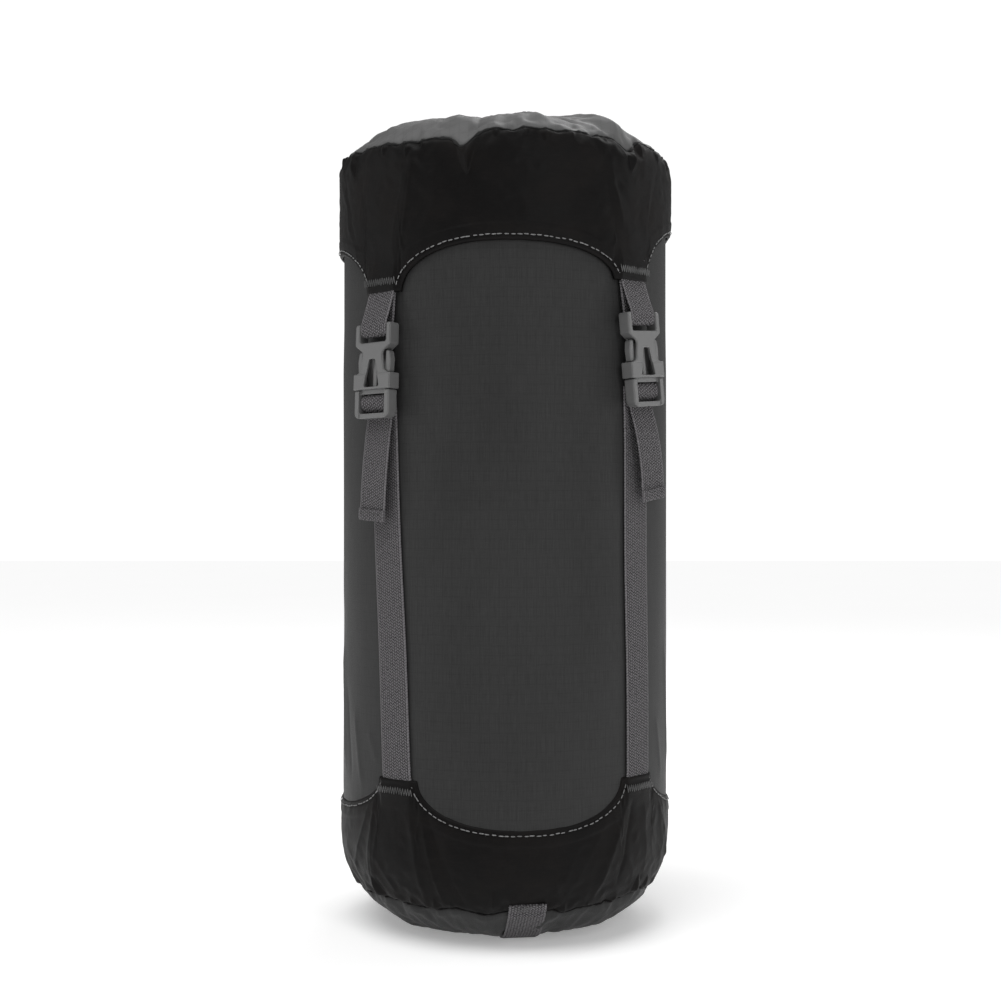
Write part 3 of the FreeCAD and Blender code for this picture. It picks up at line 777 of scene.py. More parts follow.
def stitches(name, starts, ends, normals, radius):
    """One mesh of short rounded threads between pairs of points."""
    verts = []
    faces = []
    sides = 6
    for start, end, normal in zip(starts, ends, normals):
        along = end - start
        half = np.linalg.norm(along) / 2
        if half < 1e-5:
            continue
        along = along / (2 * half)
        side = unit(np.cross(along, normal))
        up = np.cross(side, along)
        middle = (start + end) / 2
        first = len(verts)
        verts.append(middle - along * half)
        for share, width in CAPSULE[1:-1]:
            for k in range(sides):
                a = TAU * k / sides
                arm = side * math.cos(a) * 1.15 + up * math.sin(a)
                verts.append(middle + along * half * share + arm * radius * width)
        verts.append(middle + along * half)
        last = len(verts) - 1
        for k in range(sides):
            n = (k + 1) % sides
            faces.append((first, first + 1 + n, first + 1 + k))
            for ring in range(3):
                a = first + 1 + ring * sides
                faces.append((a + k, a + n, a + sides + n, a + sides + k))
            faces.append((last, last - sides + k, last - sides + n))
    return new_piece(name, verts, faces)


def stitch_line(skin, azimuths, s, lift, pitch, length, wobble, seed):
    """Starts, ends and normals of stitches along a line on a skin."""
    path, normal = at(skin, azimuths, s, lift)
    steps = np.linalg.norm(np.diff(path, axis=0), axis=1)
    run = np.concatenate([[0], np.cumsum(steps)])
    count = int(run[-1] / pitch)
    rng = np.random.default_rng(seed)
    begin = np.arange(count) * pitch + rng.normal(0, 0.1 * pitch, count)
    finish = begin + length * (1 + rng.normal(0, 0.08, count))

    def read(values, where):
        return np.stack([np.interp(where, run, values[:, k]) for k in range(3)], 1)

    side = rng.normal(0, wobble, (count, 1)) * np.array([0, 0, 1.0])
    return read(path, begin) + side, read(path, finish) + side, read(normal, begin)


def zigzag(skin, azimuth, width, s0, s1, lift, count, skin_radius, seed):
    """Starts, ends and normals of a bartack's dense zigzag."""
    rng = np.random.default_rng(seed)
    x = (np.linspace(-width / 2, width / 2, count) + rng.normal(0, 0.06 * MM, count)) / skin_radius
    s = np.where(np.arange(count) % 2, s0, s1) + rng.normal(0, 0.16 * MM, count)
    p, normal = at(skin, azimuth + x, s, lift)
    return p[:-1], p[1:], normal[:-1]


def together(rows):
    """Starts, ends and normals of several rows of stitches as one."""
    return [np.concatenate(part) for part in zip(*rows)]


# Webbing


def spline(points, step):
    """Points along a smooth curve through the given ones, about a step apart."""
    points = np.asarray(points, float)
    padded = np.concatenate([[2 * points[0] - points[1]], points, [2 * points[-1] - points[-2]]])
    made = []
    for a, b, c, d in zip(padded, padded[1:], padded[2:], padded[3:]):
        count = max(2, int(np.linalg.norm(c - b) / step))
        for u in np.linspace(0, 1, count, endpoint=False):
            square = 2 * a - 5 * b + 4 * c - d
            cube = 3 * b - a - 3 * c + d
            made.append(0.5 * (2 * b + (c - a) * u + square * u * u + cube * u ** 3))
    made.append(points[-1])
    return np.array(made)


def webbing(name, centre, across, thickness=WEB_T):
    """Flat strap along a centreline with a direction across it at each point."""
    tangent = unit_rows(np.gradient(centre, axis=0))
    across = unit_rows(across - tangent * (across * tangent).sum(1)[:, None])
    normal = np.cross(across, tangent)
    run = np.concatenate([[0], np.cumsum(np.linalg.norm(np.diff(centre, axis=0), axis=1))])
    share = np.linspace(-1, 1, 15)
    edge = np.sqrt(np.clip(1 - ((np.abs(share) - 0.93) / 0.07).clip(0, 1) ** 2, 0.06, 1))
    rib = 1 + 0.10 * np.exp(-((np.abs(share) - 0.9) / 0.05) ** 2)
    section = [(x, e * r) for x, e, r in zip(share, edge, rib)]
    section += [(x, -e * r) for x, e, r in reversed(list(zip(share, edge, rib)))]
    verts = []
    uvs = []
    for c, a, n, v in zip(centre, across, normal, run):
        for x, h in section:
            verts.append(c + a * x * WEB_W / 2 + n * h * thickness / 2)
            uvs.append((x * WEB_W / 2, v))
    count = len(section)
    faces = grid_faces(len(centre), count, True)
    faces.append(tuple(range(count)))
    faces.append(tuple(reversed(range((len(centre) - 1) * count, len(centre) * count))))
    return outward_faces(new_piece(name, verts, faces, uvs))


def oriented_inwards(mesh):
    """True if a closed mesh's signed volume is negative."""
    mesh.calc_loop_triangles()
    co = np.array([v.co for v in mesh.vertices])
    tri = np.array([t.vertices for t in mesh.loop_triangles])
    a, b, c = co[tri[:, 0]], co[tri[:, 1]], co[tri[:, 2]]
    return (a * np.cross(b, c)).sum() < 0


def outward_faces(piece):
    if oriented_inwards(piece.data):
        piece.data.flip_normals()
    return piece


# Materials


class Graph:
    """Short names for making shader nodes."""

    def __init__(self, name):
        self.material = bpy.data.materials.new(name)
        self.material.use_nodes = True
        self.tree = self.material.node_tree
        self.tree.nodes.clear()
        self.shader = self.node("ShaderNodeBsdfPrincipled")
        output = self.node("ShaderNodeOutputMaterial")
        self.link(self.shader.outputs["BSDF"], output.inputs["Surface"])

    def node(self, kind, **settings):
        made = self.tree.nodes.new(kind)
        for key, value in settings.items():
            setattr(made, key, value)
        return made

    def link(self, a, b):
        self.tree.links.new(a, b)

    def feed(self, socket, value):
        if isinstance(value, (int, float, tuple)):
            socket.default_value = value
        else:
            self.link(value, socket)

    def math(self, operation, a, b=0.0):
        made = self.node("ShaderNodeMath", operation=operation)
        self.feed(made.inputs[0], a)
        self.feed(made.inputs[1], b)
        return made.outputs[0]

    def times(self, a, b):
        return self.math("MULTIPLY", a, b)

    def add(self, a, b):
        return self.math("ADD", a, b)

    def split(self, vector):
        made = self.node("ShaderNodeSeparateXYZ")
        self.link(vector, made.inputs[0])
        return made.outputs

    def uv(self):
        return self.node("ShaderNodeUVMap", uv_map="cloth").outputs[0]

    def place(self):
        return self.node("ShaderNodeTexCoord").outputs["Object"]

    def scaled(self, vector, scale):
        made = self.node("ShaderNodeMapping")
        self.link(vector, made.inputs["Vector"])
        made.inputs["Scale"].default_value = scale
        return made.outputs[0]

    def noise(self, vector, scale, detail=3.0, roughness=0.55):
        made = self.node("ShaderNodeTexNoise")
        self.link(vector, made.inputs["Vector"])
        made.inputs["Scale"].default_value = scale
        made.inputs["Detail"].default_value = detail
        made.inputs["Roughness"].default_value = roughness
        return made.outputs["Fac"]

    def mix(self, share, a, b):
        made = self.node("ShaderNodeMix", data_type="RGBA")
        self.feed(made.inputs["Factor"], share)
        self.feed(made.inputs["A"], a)
        self.feed(made.inputs["B"], b)
        return made.outputs["Result"]

    def span(self, value, low, high, to_low, to_high):
        made = self.node("ShaderNodeMapRange")
        self.link(value, made.inputs["Value"])
        for key, number in (("From Min", low), ("From Max", high), ("To Min", to_low), ("To Max", to_high)):
            made.inputs[key].default_value = number
        return made.outputs[0]

    def wave(self, value, pitch):
        """Sine of a length in metres, from -1 to 1."""
        return self.math("SINE", self.times(value, TAU / pitch))

    def bump(self, heights, last=None):
        """Chain of bumps from (height, distance in metres, strength), on top of a normal."""
        for height, distance, strength in heights:
            made = self.node("ShaderNodeBump")
            made.inputs["Distance"].default_value = distance
            made.inputs["Strength"].default_value = strength
            self.link(height, made.inputs["Height"])
            if last is not None:
                self.link(last, made.inputs["Normal"])
            last = made.outputs[0]
        self.link(last, self.shader.inputs["Normal"])

    def finish(self, colour, roughness, **constants):
        self.feed(self.shader.inputs["Base Color"], colour)
        self.feed(self.shader.inputs["Roughness"], roughness)
        for key, value in constants.items():
            self.shader.inputs[key.replace("_", " ")].default_value = value
        return self.material


def grey(value, warm=0.0):
    return (value * (1 + warm), value, value * (1 - warm), 1.0)


def ripstop_material():
    g = Graph("ripstop")
    u, v, _ = g.split(g.uv())
    threads = g.times(g.wave(u, 0.62 * MM), g.wave(v, 0.62 * MM))
    grid_u = g.math("GREATER_THAN", g.wave(u, 4.8 * MM), 0.93)
    grid_v = g.math("GREATER_THAN", g.wave(v, 4.8 * MM), 0.93)
    grid = g.math("MAXIMUM", grid_u, grid_v)
    grain = g.noise(g.scaled(g.uv(), (2600.0, 90.0, 1.0)), 1.0, 3.0)
    cross = g.noise(g.scaled(g.uv(), (120.0, 2400.0, 1.0)), 1.0, 2.0)
    crinkle = g.noise(g.place(), 90.0, 4.0)
    patchy = g.noise(g.scaled(g.place(), (1.0, 1.0, 0.4)), 22.0, 3.0)
    tone = g.add(g.times(grain, 0.5), g.times(cross, 0.22))
    tone = g.add(tone, g.times(patchy, 0.28))
    tone = g.math("SUBTRACT", tone, g.times(grid, 0.05))
    colour = g.mix(g.span(tone, 0.32, 0.68, 0.0, 1.0), grey(0.023), grey(0.039))
    fine = [(threads, 0.05 * MM, 0.35), (grid, 0.05 * MM, 0.3), (grain, 0.1 * MM, 0.3)]
    g.bump([(crinkle, 0.5 * MM, 0.25)] + fine)
    rough = g.span(patchy, 0.3, 0.7, 0.44, 0.56)
    return g.finish(colour, rough, Sheen_Weight=0.01, Sheen_Roughness=0.4, Specular_IOR_Level=0.13)


def cuff_material():
    g = Graph("cuff_nylon")
    u, v, _ = g.split(g.uv())
    threads = g.times(g.wave(u, 0.5 * MM), g.wave(v, 0.5 * MM))
    wrinkle = g.noise(g.scaled(g.place(), (1.0, 1.0, 0.7)), 70.0, 5.0, 0.62)
    fine = g.noise(g.place(), 320.0, 3.0)
    wear_and_rim_highlight = g.noise(g.scaled(g.place(), (1.0, 1.0, 1.4)), 36.0, 5.0, 0.6)
    faint = g.noise(g.scaled(g.uv(), (140.0, 1500.0, 1.0)), 1.0, 2.0)
    dark, light = (0.0030, 0.0026, 0.0026, 1), (0.0064, 0.0052, 0.0048, 1)
    colour = g.mix(g.span(wear_and_rim_highlight, 0.45, 0.72, 0.0, 1.0), dark, light)
    colour = g.mix(g.span(faint, 0.5, 0.8, 0.0, 0.25), colour, (0.0105, 0.0088, 0.0082, 1))
    g.bump([(wrinkle, 1.0 * MM, 0.32), (fine, 0.2 * MM, 0.2), (threads, 0.04 * MM, 0.3)])
    rough = g.span(wear_and_rim_highlight, 0.3, 0.7, 0.46, 0.6)
    return g.finish(colour, rough, Sheen_Weight=0.003, Sheen_Roughness=0.35, Specular_IOR_Level=0.11)


def lid_material():
    g = Graph("lid_nylon")
    u, v, _ = g.split(g.place())
    threads = g.times(g.wave(u, 0.6 * MM), g.wave(v, 0.6 * MM))
    grid_u = g.math("GREATER_THAN", g.wave(u, 4.8 * MM), 0.94)
    grid_v = g.math("GREATER_THAN", g.wave(v, 4.8 * MM), 0.94)
    grid = g.math("MAXIMUM", grid_u, grid_v)
    wrinkle = g.noise(g.place(), 60.0, 5.0, 0.6)
    fine = g.noise(g.place(), 420.0, 3.0)
    patchy = g.noise(g.place(), 26.0, 3.0)
    colour = g.mix(g.span(patchy, 0.3, 0.7, 0.0, 1.0), grey(0.085), grey(0.115))
    colour = g.mix(g.times(grid, 0.2), colour, grey(0.055))
    weave = [(threads, 0.05 * MM, 0.3), (grid, 0.05 * MM, 0.3)]
    g.bump([(wrinkle, 0.9 * MM, 0.3), (fine, 0.15 * MM, 0.25)] + weave)
    return g.finish(colour, g.span(patchy, 0.3, 0.7, 0.50, 0.60), Sheen_Weight=0.02, Sheen_Roughness=0.4,
                    Specular_IOR_Level=0.30)


def webbing_material():
    """Coarse weave: columns of slanted yarns, with closer yarns along both edges."""
    g = Graph("webbing_weave")
    u, v, _ = g.split(g.uv())
    column = g.math("ROUND", g.math("DIVIDE", u, 1.5 * MM))
    within = g.math("SUBTRACT", g.math("DIVIDE", u, 1.5 * MM), column)
    side = g.math("SUBTRACT", g.times(g.math("MODULO", g.math("ABSOLUTE", column), 2.0), 2.0), 1.0)
    slant = g.times(g.times(within, side), 0.7 * MM)
    shift = g.times(column, 0.62 * MM)
    yarn = g.wave(g.add(g.add(v, slant), shift), 1.45 * MM)
    groove = g.math("POWER", g.math("ABSOLUTE", g.times(within, 2.0)), 3.0)
    fuzz = g.noise(g.scaled(g.uv(), (1100.0, 800.0, 1.0)), 1.0, 3.0, 0.7)
    blotch = g.noise(g.scaled(g.uv(), (500.0, 420.0, 1.0)), 1.0, 2.0)
    edge = g.math("GREATER_THAN", g.math("ABSOLUTE", u), 8.5 * MM)
    height = g.math("SUBTRACT", g.times(yarn, 0.5), g.times(groove, 0.6))
    height = g.add(height, g.times(blotch, 0.5))
    tone = g.add(g.times(height, 0.45), g.times(fuzz, 0.85))
    tone = g.add(tone, g.times(edge, 0.22))
    colour = g.mix(g.span(tone, 0.16, 0.74, 0.0, 1.0), (0.004, 0.0037, 0.004, 1), (0.215, 0.205, 0.215, 1))
    g.bump([(height, 0.9 * MM, 1.0), (fuzz, 0.2 * MM, 0.6)])
    return g.finish(colour, 0.72, Sheen_Weight=0.03, Sheen_Roughness=0.5, Specular_IOR_Level=0.2)


def thread_material(name, light, dark):
    g = Graph(name)
    twist = g.noise(g.place(), 1600.0, 2.0)
    uneven = g.noise(g.place(), 90.0, 2.0)
    tone = g.add(g.times(twist, 0.5), g.times(uneven, 0.5))
    colour = g.mix(g.span(tone, 0.35, 0.65, 0.0, 1.0), grey(dark), grey(light))
    g.bump([(twist, 0.1 * MM, 0.5)])
    return g.finish(colour, 0.6, Sheen_Weight=0.02, Sheen_Roughness=0.5, Specular_IOR_Level=0.25)


def plastic_material(name, light, dark, rough):
    g = Graph(name)
    fine = g.noise(g.place(), 1400.0, 3.0)
    broad = g.noise(g.place(), 60.0, 3.0)
    scuff = g.noise(g.scaled(g.place(), (500.0, 500.0, 90.0)), 1.0, 4.0, 0.7)
    tone = g.add(g.times(broad, 0.7), g.times(scuff, 0.3))
    rounded = g.node("ShaderNodeBevel", samples=6)
    rounded.inputs["Radius"].default_value = 0.7 * MM
    bend = g.node("ShaderNodeVectorMath", operation="DOT_PRODUCT")
    g.link(rounded.outputs[0], bend.inputs[0])
    g.link(g.node("ShaderNodeNewGeometry").outputs["True Normal"], bend.inputs[1])
    # Where the rounded normal turns away from the true normal, at the rims, the colour goes towards a
    # lighter grey: a painted highlight on the edges.
    wear_and_rim_highlight = g.span(bend.outputs["Value"], 0.80, 0.99, 0.75, 0.0)
    colour = g.mix(g.span(tone, 0.35, 0.65, 0.0, 1.0), grey(dark), grey(light))
    colour = g.mix(wear_and_rim_highlight, colour, grey(2.1 * light))
    g.bump([(fine, 0.05 * MM, 0.35), (broad, 0.2 * MM, 0.1)], rounded.outputs[0])
    return g.finish(colour, g.span(tone, 0.35, 0.65, rough, rough + 0.08), Specular_IOR_Level=0.5)


def cord_material():
    g = Graph("braided_cord")
    x, y, z = g.split(g.place())
    braid = g.times(g.wave(g.add(x, z), 1.1 * MM), g.wave(g.math("SUBTRACT", y, z), 1.1 * MM))
    fuzz = g.noise(g.place(), 1200.0, 3.0)
    colour = g.mix(g.span(braid, -1.0, 1.0, 0.0, 1.0), grey(0.010), grey(0.03))
    g.bump([(braid, 0.2 * MM, 0.6), (fuzz, 0.1 * MM, 0.4)])
    return g.finish(colour, 0.7, Sheen_Weight=0.02, Sheen_Roughness=0.5, Specular_IOR_Level=0.25)


def steel_material():
    g = Graph("spring_wire")
    drawn = g.noise(g.scaled(g.place(), (300.0, 2500.0, 2500.0)), 1.0, 2.0)
    colour = g.mix(g.span(drawn, 0.3, 0.7, 0.0, 1.0), grey(0.42), grey(0.58))
    g.bump([(drawn, 0.02 * MM, 0.4)])
    return g.finish(colour, g.span(drawn, 0.3, 0.7, 0.22, 0.36), Metallic=1.0)


MATERIALS = {
    "ripstop": ripstop_material(),
    "cuff_fabric": cuff_material(),
    "lid_fabric": lid_material(),
    "webbing": webbing_material(),
    "thread": thread_material("grey_thread", 0.26, 0.12),
    "bartack": thread_material("bartack_thread", 0.13, 0.035),
    "black_thread": thread_material("black_thread", 0.014, 0.006),
    "cord": cord_material(),
    "buckle_plastic": plastic_material("buckle_plastic", 0.118, 0.098, 0.32),
    "lock_plastic": plastic_material("lock_plastic", 0.020, 0.013, 0.42),
    "spring_steel": steel_material(),
}


def dressed(piece, slot, body, replaced=(), material=None):
    piece.data.materials.clear()
    piece.data.materials.append(MATERIALS[material or slot])
    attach(piece, body)
    if replaced:
        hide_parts(*replaced)
    return piece


# Sack


def handle_azimuth():
    """Azimuth of the front end of the grab handle."""
    co = np.array([v.co for v in frame["nodes"]["handle_bartacks"].data.vertices])
    return azimuth_of(co[co[:, 1] < 0].mean(0))


def base_hem_s(azimuth):
    return base_s(base_hem(azimuth))


def square_distance(azimuth, s, line):
    """Distance of grid points from a line given as a function of azimuth, measured nearly square to it."""
    slope = np.gradient(line(azimuth[0]), azimuth[0] * CUFF_R)
    return np.abs(line(azimuth) - s) / np.sqrt(1 + slope ** 2)[None, :]


def declare_band(low, high):
    """Depth between two lines given as functions of azimuth, which is worked out and not used."""
    azimuth = np.linspace(0, TAU, COLUMNS, endpoint=False)
    depth = high(azimuth) - low(azimuth)


def close_centre(piece):
    """Replaces the small tube that a round grid leaves at the axis by flat ends."""
    b = bmesh.new()
    b.from_mesh(piece.data)
    near = [
        f for f in b.faces
        if abs(f.normal.z) < 0.7 and all(math.hypot(*v.co[:2]) < 1.3 * MM for v in f.verts)
    ]
    bmesh.ops.delete(b, geom=near, context="FACES_ONLY")
    bmesh.ops.holes_fill(b, edges=[e for e in b.edges if e.is_boundary], sides=0)
    b.to_mesh(piece.data)
    b.free()
    return outward_faces(piece)


def tape(name, skin, line, body, replaced):
    azimuth, s = round_grid(lambda a: line(a) - 3 * MM, lambda a: line(a) + 3 * MM, 5)
    piece = outward_faces(sheet_on(name, skin, azimuth, s, -2.6 * MM, 0.9 * MM, CUFF_R))
    return dressed(piece, "cuff_fabric", body, replaced)


def piping(name, skin, line, lift, radius, seed, body, material):
    """Thin folded edge that shows along a seam."""
    azimuth = np.linspace(0, TAU, 2 * COLUMNS + 1)
    path, normal = at(skin, azimuth, line(azimuth), lift)
    path[-1], normal[-1] = path[0], normal[0]
    rng = np.random.default_rng(seed)
    size = np.ones(len(azimuth))
    for turns in (31, 53, 97, 151):
        size += 0.22 * np.sin(turns * azimuth + rng.uniform(0, TAU))
    tangent = unit_rows(np.gradient(path, axis=0))
    tangent[0] = tangent[-1] = unit(tangent[0] + tangent[-1])
    side = np.cross(tangent, normal)
    size[-1] = size[0]
    sides = 8
    rings = []
    for k in range(sides):
        a = TAU * k / sides
        rings.append(path + (side * math.cos(a) * 1.2 + normal * math.sin(a)) * (radius * size)[:, None])
    verts = np.stack(rings, 1)[:-1].reshape(-1, 3)
    count = len(azimuth) - 1
    faces = []
    for j in range(count):
        for k in range(sides):
            a, b = j * sides + k, j * sides + (k + 1) % sides
            c, d = (j + 1) % count * sides + (k + 1) % sides, (j + 1) % count * sides + k
            faces.append((a, b, c, d))
    return dressed(outward_faces(new_piece(name, verts, faces)), "cuff_fabric", body, (), material)


def topstitch(name, skin, line, inset, seed, body):
    """Row of stitches at an even distance inside a hem."""
    azimuth = np.linspace(-math.pi, math.pi, 6 * COLUMNS + 1)
    x = azimuth * CUFF_R
    height = line(azimuth)
    tangent = unit_rows(np.stack([np.gradient(x), np.gradient(height)], 1))
    inner_x = x - tangent[:, 1] * inset
    inner_s = height + tangent[:, 0] * inset
    # where the offset line crosses itself at a tab's corners, only the part furthest inside counts
    keep = np.ones(len(x), bool)
    for k in range(len(x)):
        near = slice(max(0, k - 60), k + 61)
        gap = np.hypot(x[near] - inner_x[k], height[near] - inner_s[k]).min()
        keep[k] = gap > abs(inset) * 0.93
    starts, ends, normals = stitch_line(
        skin, inner_x[keep] / CUFF_R, inner_s[keep], 0.1 * MM, STITCH_PITCH, 2.45 * MM, 0.12 * MM, seed
    )
    return dressed(stitches(name, starts, ends, normals, TOPSTITCH_THREAD), "thread", body)


def base_pieces():
    azimuth, s = round_grid(0.6 * MM, base_seam, 56)
    panel = sheet_on("base_panel_cloth", base_skin, azimuth, s, 0.0, 1.0 * MM, CUFF_R)
    dressed(close_centre(panel), "ripstop", "sack", ["base_panel"])

    azimuth, s = round_grid(base_seam, base_hem_s, 74, columns=2 * COLUMNS)
    lift = hem_lift(square_distance(azimuth, s, base_hem_s))
    lift = lift + over_webbing(azimuth, base_height(s), "base", 1, 1.1 * MM)
    cuff = sheet_on("base_cuff_cloth", base_skin, azimuth, s, lift, CLOTH_T, CUFF_R)
    dressed(outward_faces(cuff), "cuff_fabric", "sack", ["base_cuff"])
    declare_band(base_seam, base_hem_s)

    tape("base_seam_tape", base_skin, base_seam, "sack", ["base_seam_binding"])
    piping("base_seam_edge", base_skin, base_seam, 0.1 * MM, 0.42 * MM, 5, "sack", "cuff_fabric")
    topstitch("base_topstitch", base_skin, base_hem_s, -TOPSTITCH_INSET, 8, "sack")

    low, high = base_s(BASE_TAB - 7.6 * MM), base_s(BASE_TAB - 3.8 * MM)
    rows = [
        zigzag(base_skin, FACTS[name]["base"], TACK_WIDTH, low, high, 1.75 * MM, 30, CUFF_R, number)
        for number, name in enumerate(STRAPS)
    ]
    tacks = stitches("base_bartacks_thread", *together(rows), TACK_THREAD)
    dressed(tacks, "thread", "sack", ["base_bartacks"], "bartack")


def handle_pieces():
    """Grab handle across the base, its ends sewn down just above the seam with zigzags."""
    azimuth = handle_azimuth()
    rows = []
    for end in (0, math.pi):
        seam = base_seam(np.array([azimuth + end]))[0]
        rows.append(np.linspace(seam + 5.5 * MM, 0.5 * MM, 90))
    path = []
    across = []
    side = np.array([math.cos(azimuth), math.sin(azimuth), 0])
    for end, run in ((0, rows[0]), (math.pi, rows[1][::-1])):
        for s in run:
            p = base_skin(np.array([azimuth + end]), np.array([s]), np.array([0.0]))[0]
            _, _, nr, nz = (float(x) for x in base_profile(s))
            direction = np.array([math.sin(azimuth + end), -math.cos(azimuth + end), 0])
            flat = direction * (p @ direction) + np.array([0, 0, p[2]])
            lift = 0.35 * MM if s > FOOT_R else 0.5 * MM
            normal = direction * nr + np.array([0, 0, nz])
            path.append(flat + normal * lift * (1 if s > FOOT_R else -1))
            across.append(side)
    path = np.array(path)
    path[:, 2] = np.maximum(path[:, 2], 0.5 * MM)
    handle = webbing("grab_handle", path, np.array(across))
    dressed(handle, "webbing", "sack", ["base_handle"])
    rows = []
    for number, end in enumerate((0, math.pi)):
        seam = base_seam(np.array([azimuth + end]))[0]
        low, high = seam + 0.6 * MM, seam + 5.0 * MM
        rows.append(zigzag(base_skin, azimuth + end, WEB_W, low, high, 1.1 * MM, 24, 82 * MM, 20 + number))
    tacks = stitches("handle_bartacks_thread", *together(rows), TACK_THREAD)
    dressed(tacks, "thread", "sack", ["handle_bartacks"], "bartack")


def tube_pieces():
    low = TUBE_LOW
    azimuth, z = round_grid(low, TUBE_TOP, 150)
    tube = outward_faces(sheet_on("body_tube_cloth", tube_skin, azimuth, z, 0.0, CLOTH_T, TUBE_R))
    dressed(tube, "ripstop", "sack", ["body_tube"])
    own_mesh(tube)

    half = 4 * MM / TUBE_R
    z = np.linspace(BASE_HEM + 2 * MM, TUBE_TOP, 140)[:, None]
    azimuth = (math.pi + np.linspace(-half, half, 9))[None, :]
    azimuth, z = np.broadcast_arrays(azimuth, z)
    x = (azimuth - math.pi) * TUBE_R
    lift = 0.75 * MM * np.sqrt(np.clip(1 - (np.abs(x) / (4.05 * MM)) ** 6, 0, 1)) + 0.1 * MM
    uv = np.stack([azimuth * TUBE_R, z], -1)
    outer, inner = tube_skin(azimuth, z, lift), tube_skin(azimuth, z, -0.2 * MM)
    seam = outward_faces(shell("back_seam", outer, inner, uv, False))
    dressed(seam, "ripstop", "sack", ["body_seam"])
    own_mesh(seam)
    heights = np.linspace(BASE_HEM + 4 * MM, LID_HEM + 14 * MM, 400)
    made = []
    for side in (-1, 1):
        azimuths = np.full(400, math.pi + side * 2.6 * MM / TUBE_R)
        made.append(
            stitch_line(tube_skin, azimuths, heights, 0.85 * MM, STITCH_PITCH, 2.4 * MM, 0.0, 30 + side)
        )
    rows = stitches("back_seam_stitches", *together(made), TACK_THREAD)
    dressed(rows, "thread", "sack")
    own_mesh(rows)


# Straps


def strap_pieces(name):
    fact = FACTS[name]
    low = BASE_TAB - 14 * MM
    above = np.linspace(BASE_TAB, fact["top"] + 0.4 * MM, 130)
    z = np.concatenate([np.linspace(low, BASE_TAB, 12)[:-1], above])
    share = np.clip((z - BASE_TAB) / (fact["top"] - BASE_TAB), 0, 1)
    turn = float(wrapped(fact["top_azimuth"] - fact["base"]))
    azimuth = fact["base"] + turn * share
    rng = np.random.default_rng(len(name))
    azimuth = azimuth + 0.5 * MM / TUBE_R * np.sin(share * 7 + rng.uniform(0, TAU)) * np.sin(math.pi * share)
    under = np.clip((BASE_TAB + 3 * MM - z) / (6 * MM), 0, 1)
    lift = WEB_T / 2 + (0.55 - 0.45 * under) * MM
    centre = tube_skin(azimuth, z, lift)
    across = np.stack([np.cos(azimuth), np.sin(azimuth), 0 * azimuth], 1)
    run = webbing("strap_" + name, centre, across)
    wrap_round(run, azimuth)
    dressed(run, "webbing", "sack", ["strap_run_" + name])
    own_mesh(run)


def wrap_round(piece, row_azimuths):
    """Bends a flat strap a little round the sack."""
    mesh = piece.data
    co = np.array([v.co for v in mesh.vertices])
    azimuth = np.repeat(row_azimuths, len(co) // len(row_azimuths))
    across = np.stack([np.cos(azimuth), np.sin(azimuth), 0 * azimuth], 1)
    out = np.stack([np.sin(azimuth), -np.cos(azimuth), 0 * azimuth], 1)
    x = (co * across).sum(1)
    drop = 0.75 * (TUBE_R - np.sqrt(TUBE_R ** 2 - x ** 2))
    co -= out * drop[:, None]
    mesh.vertices.foreach_set("co", co.ravel())
    mesh.update()


def in_buckle(fact, points):
    """World points from (across, out, up) in millimetres in a buckle's frame."""
    rows = np.asarray(points, float) * MM
    across, out, up = (rows[:, k:k + 1] * fact[key] for k, key in enumerate(("across", "out", "up")))
    return fact["origin"] + across + out + up


# Hanging ends: sideways drift and bow outwards in millimetres, and twist of the tip in degrees
TAILS = {
    "front_left": (-2.6, 1.6, -7.0),
    "front_right": (2.0, 3.0, 3.0),
    "rear_right": (-2.0, 2.4, 5.0),
    "rear_left": (2.4, 1.8, -4.0),
}


def tail_piece(name):
    """Strap end: round the centre bar, behind the end bar and down to a folded tip."""
    fact = FACTS[name]
    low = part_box("strap_tail_" + name)[0].z
    length = (fact["origin"][2] - low) / MM
    drift, bow, twist = TAILS[name]
    route = [
        (0, -0.35, 9.6), (0, 0.05, 10.9), (0, 1.6, 11.5), (0, 3.6, 11.3), (0, 4.7, 9.7), (0, 4.75, 7.2),
        (0, 3.9, 5.3), (0, 2.3, 4.1), (0, 0.75, 3.2), (0, 0.15, 1.6), (0, 0.1, -1.5),
    ]
    for share in (0.15, 0.35, 0.55, 0.75, 0.9, 1.0):
        bend = math.sin(math.pi * share * 0.9)
        route.append((drift * share ** 1.6, 0.15 + bow * bend * 0.9 + 0.4 * share, -share * length))
    points = spline(in_buckle(fact, route), 1.1 * MM)
    run = np.linspace(0, 1, len(points))
    angle = math.radians(twist) * np.clip((run - 0.35) / 0.65, 0, 1) ** 1.5
    across = np.cos(angle)[:, None] * fact["across"] + np.sin(angle)[:, None] * fact["up"]
    tail = webbing("tail_webbing_" + name, points, across)
    tip = points[-1]
    down = unit(points[-1] - points[-4])
    side = unit(across[-1] - down * (across[-1] @ down))
    out = np.cross(down, side)
    if out @ fact["out"] < 0:
        out = -out
    corners = ((-0.9, 0.0), (0.15, 0.48), (-0.9, 0.96), (-3.2, 0.98), (-5.6, 0.96))
    fold_path = spline([tip + (down * along + out * lift) * MM for along, lift in corners], 0.5 * MM)
    fold = webbing("strap_fold_" + name, fold_path, np.repeat(side[None], len(fold_path), 0), WEB_T * 0.9)
    dressed(tail, "webbing", "plug_" + name, ["strap_tail_" + name])
    dressed(fold, "webbing", "plug_" + name)
    x = np.linspace(-8.0, 8.0, 8)
    middle = tip - down * 3.6 * MM + out * WEB_T * 1.46
    starts = [middle + side * (k - 0.8) * MM for k in x]
    ends = [middle + side * (k + 0.8) * MM for k in x]
    rows = stitches("strap_fold_stitches_" + name, starts, ends, [out] * len(x), 0.2 * MM)
    dressed(rows, "thread", "plug_" + name, (), "bartack")


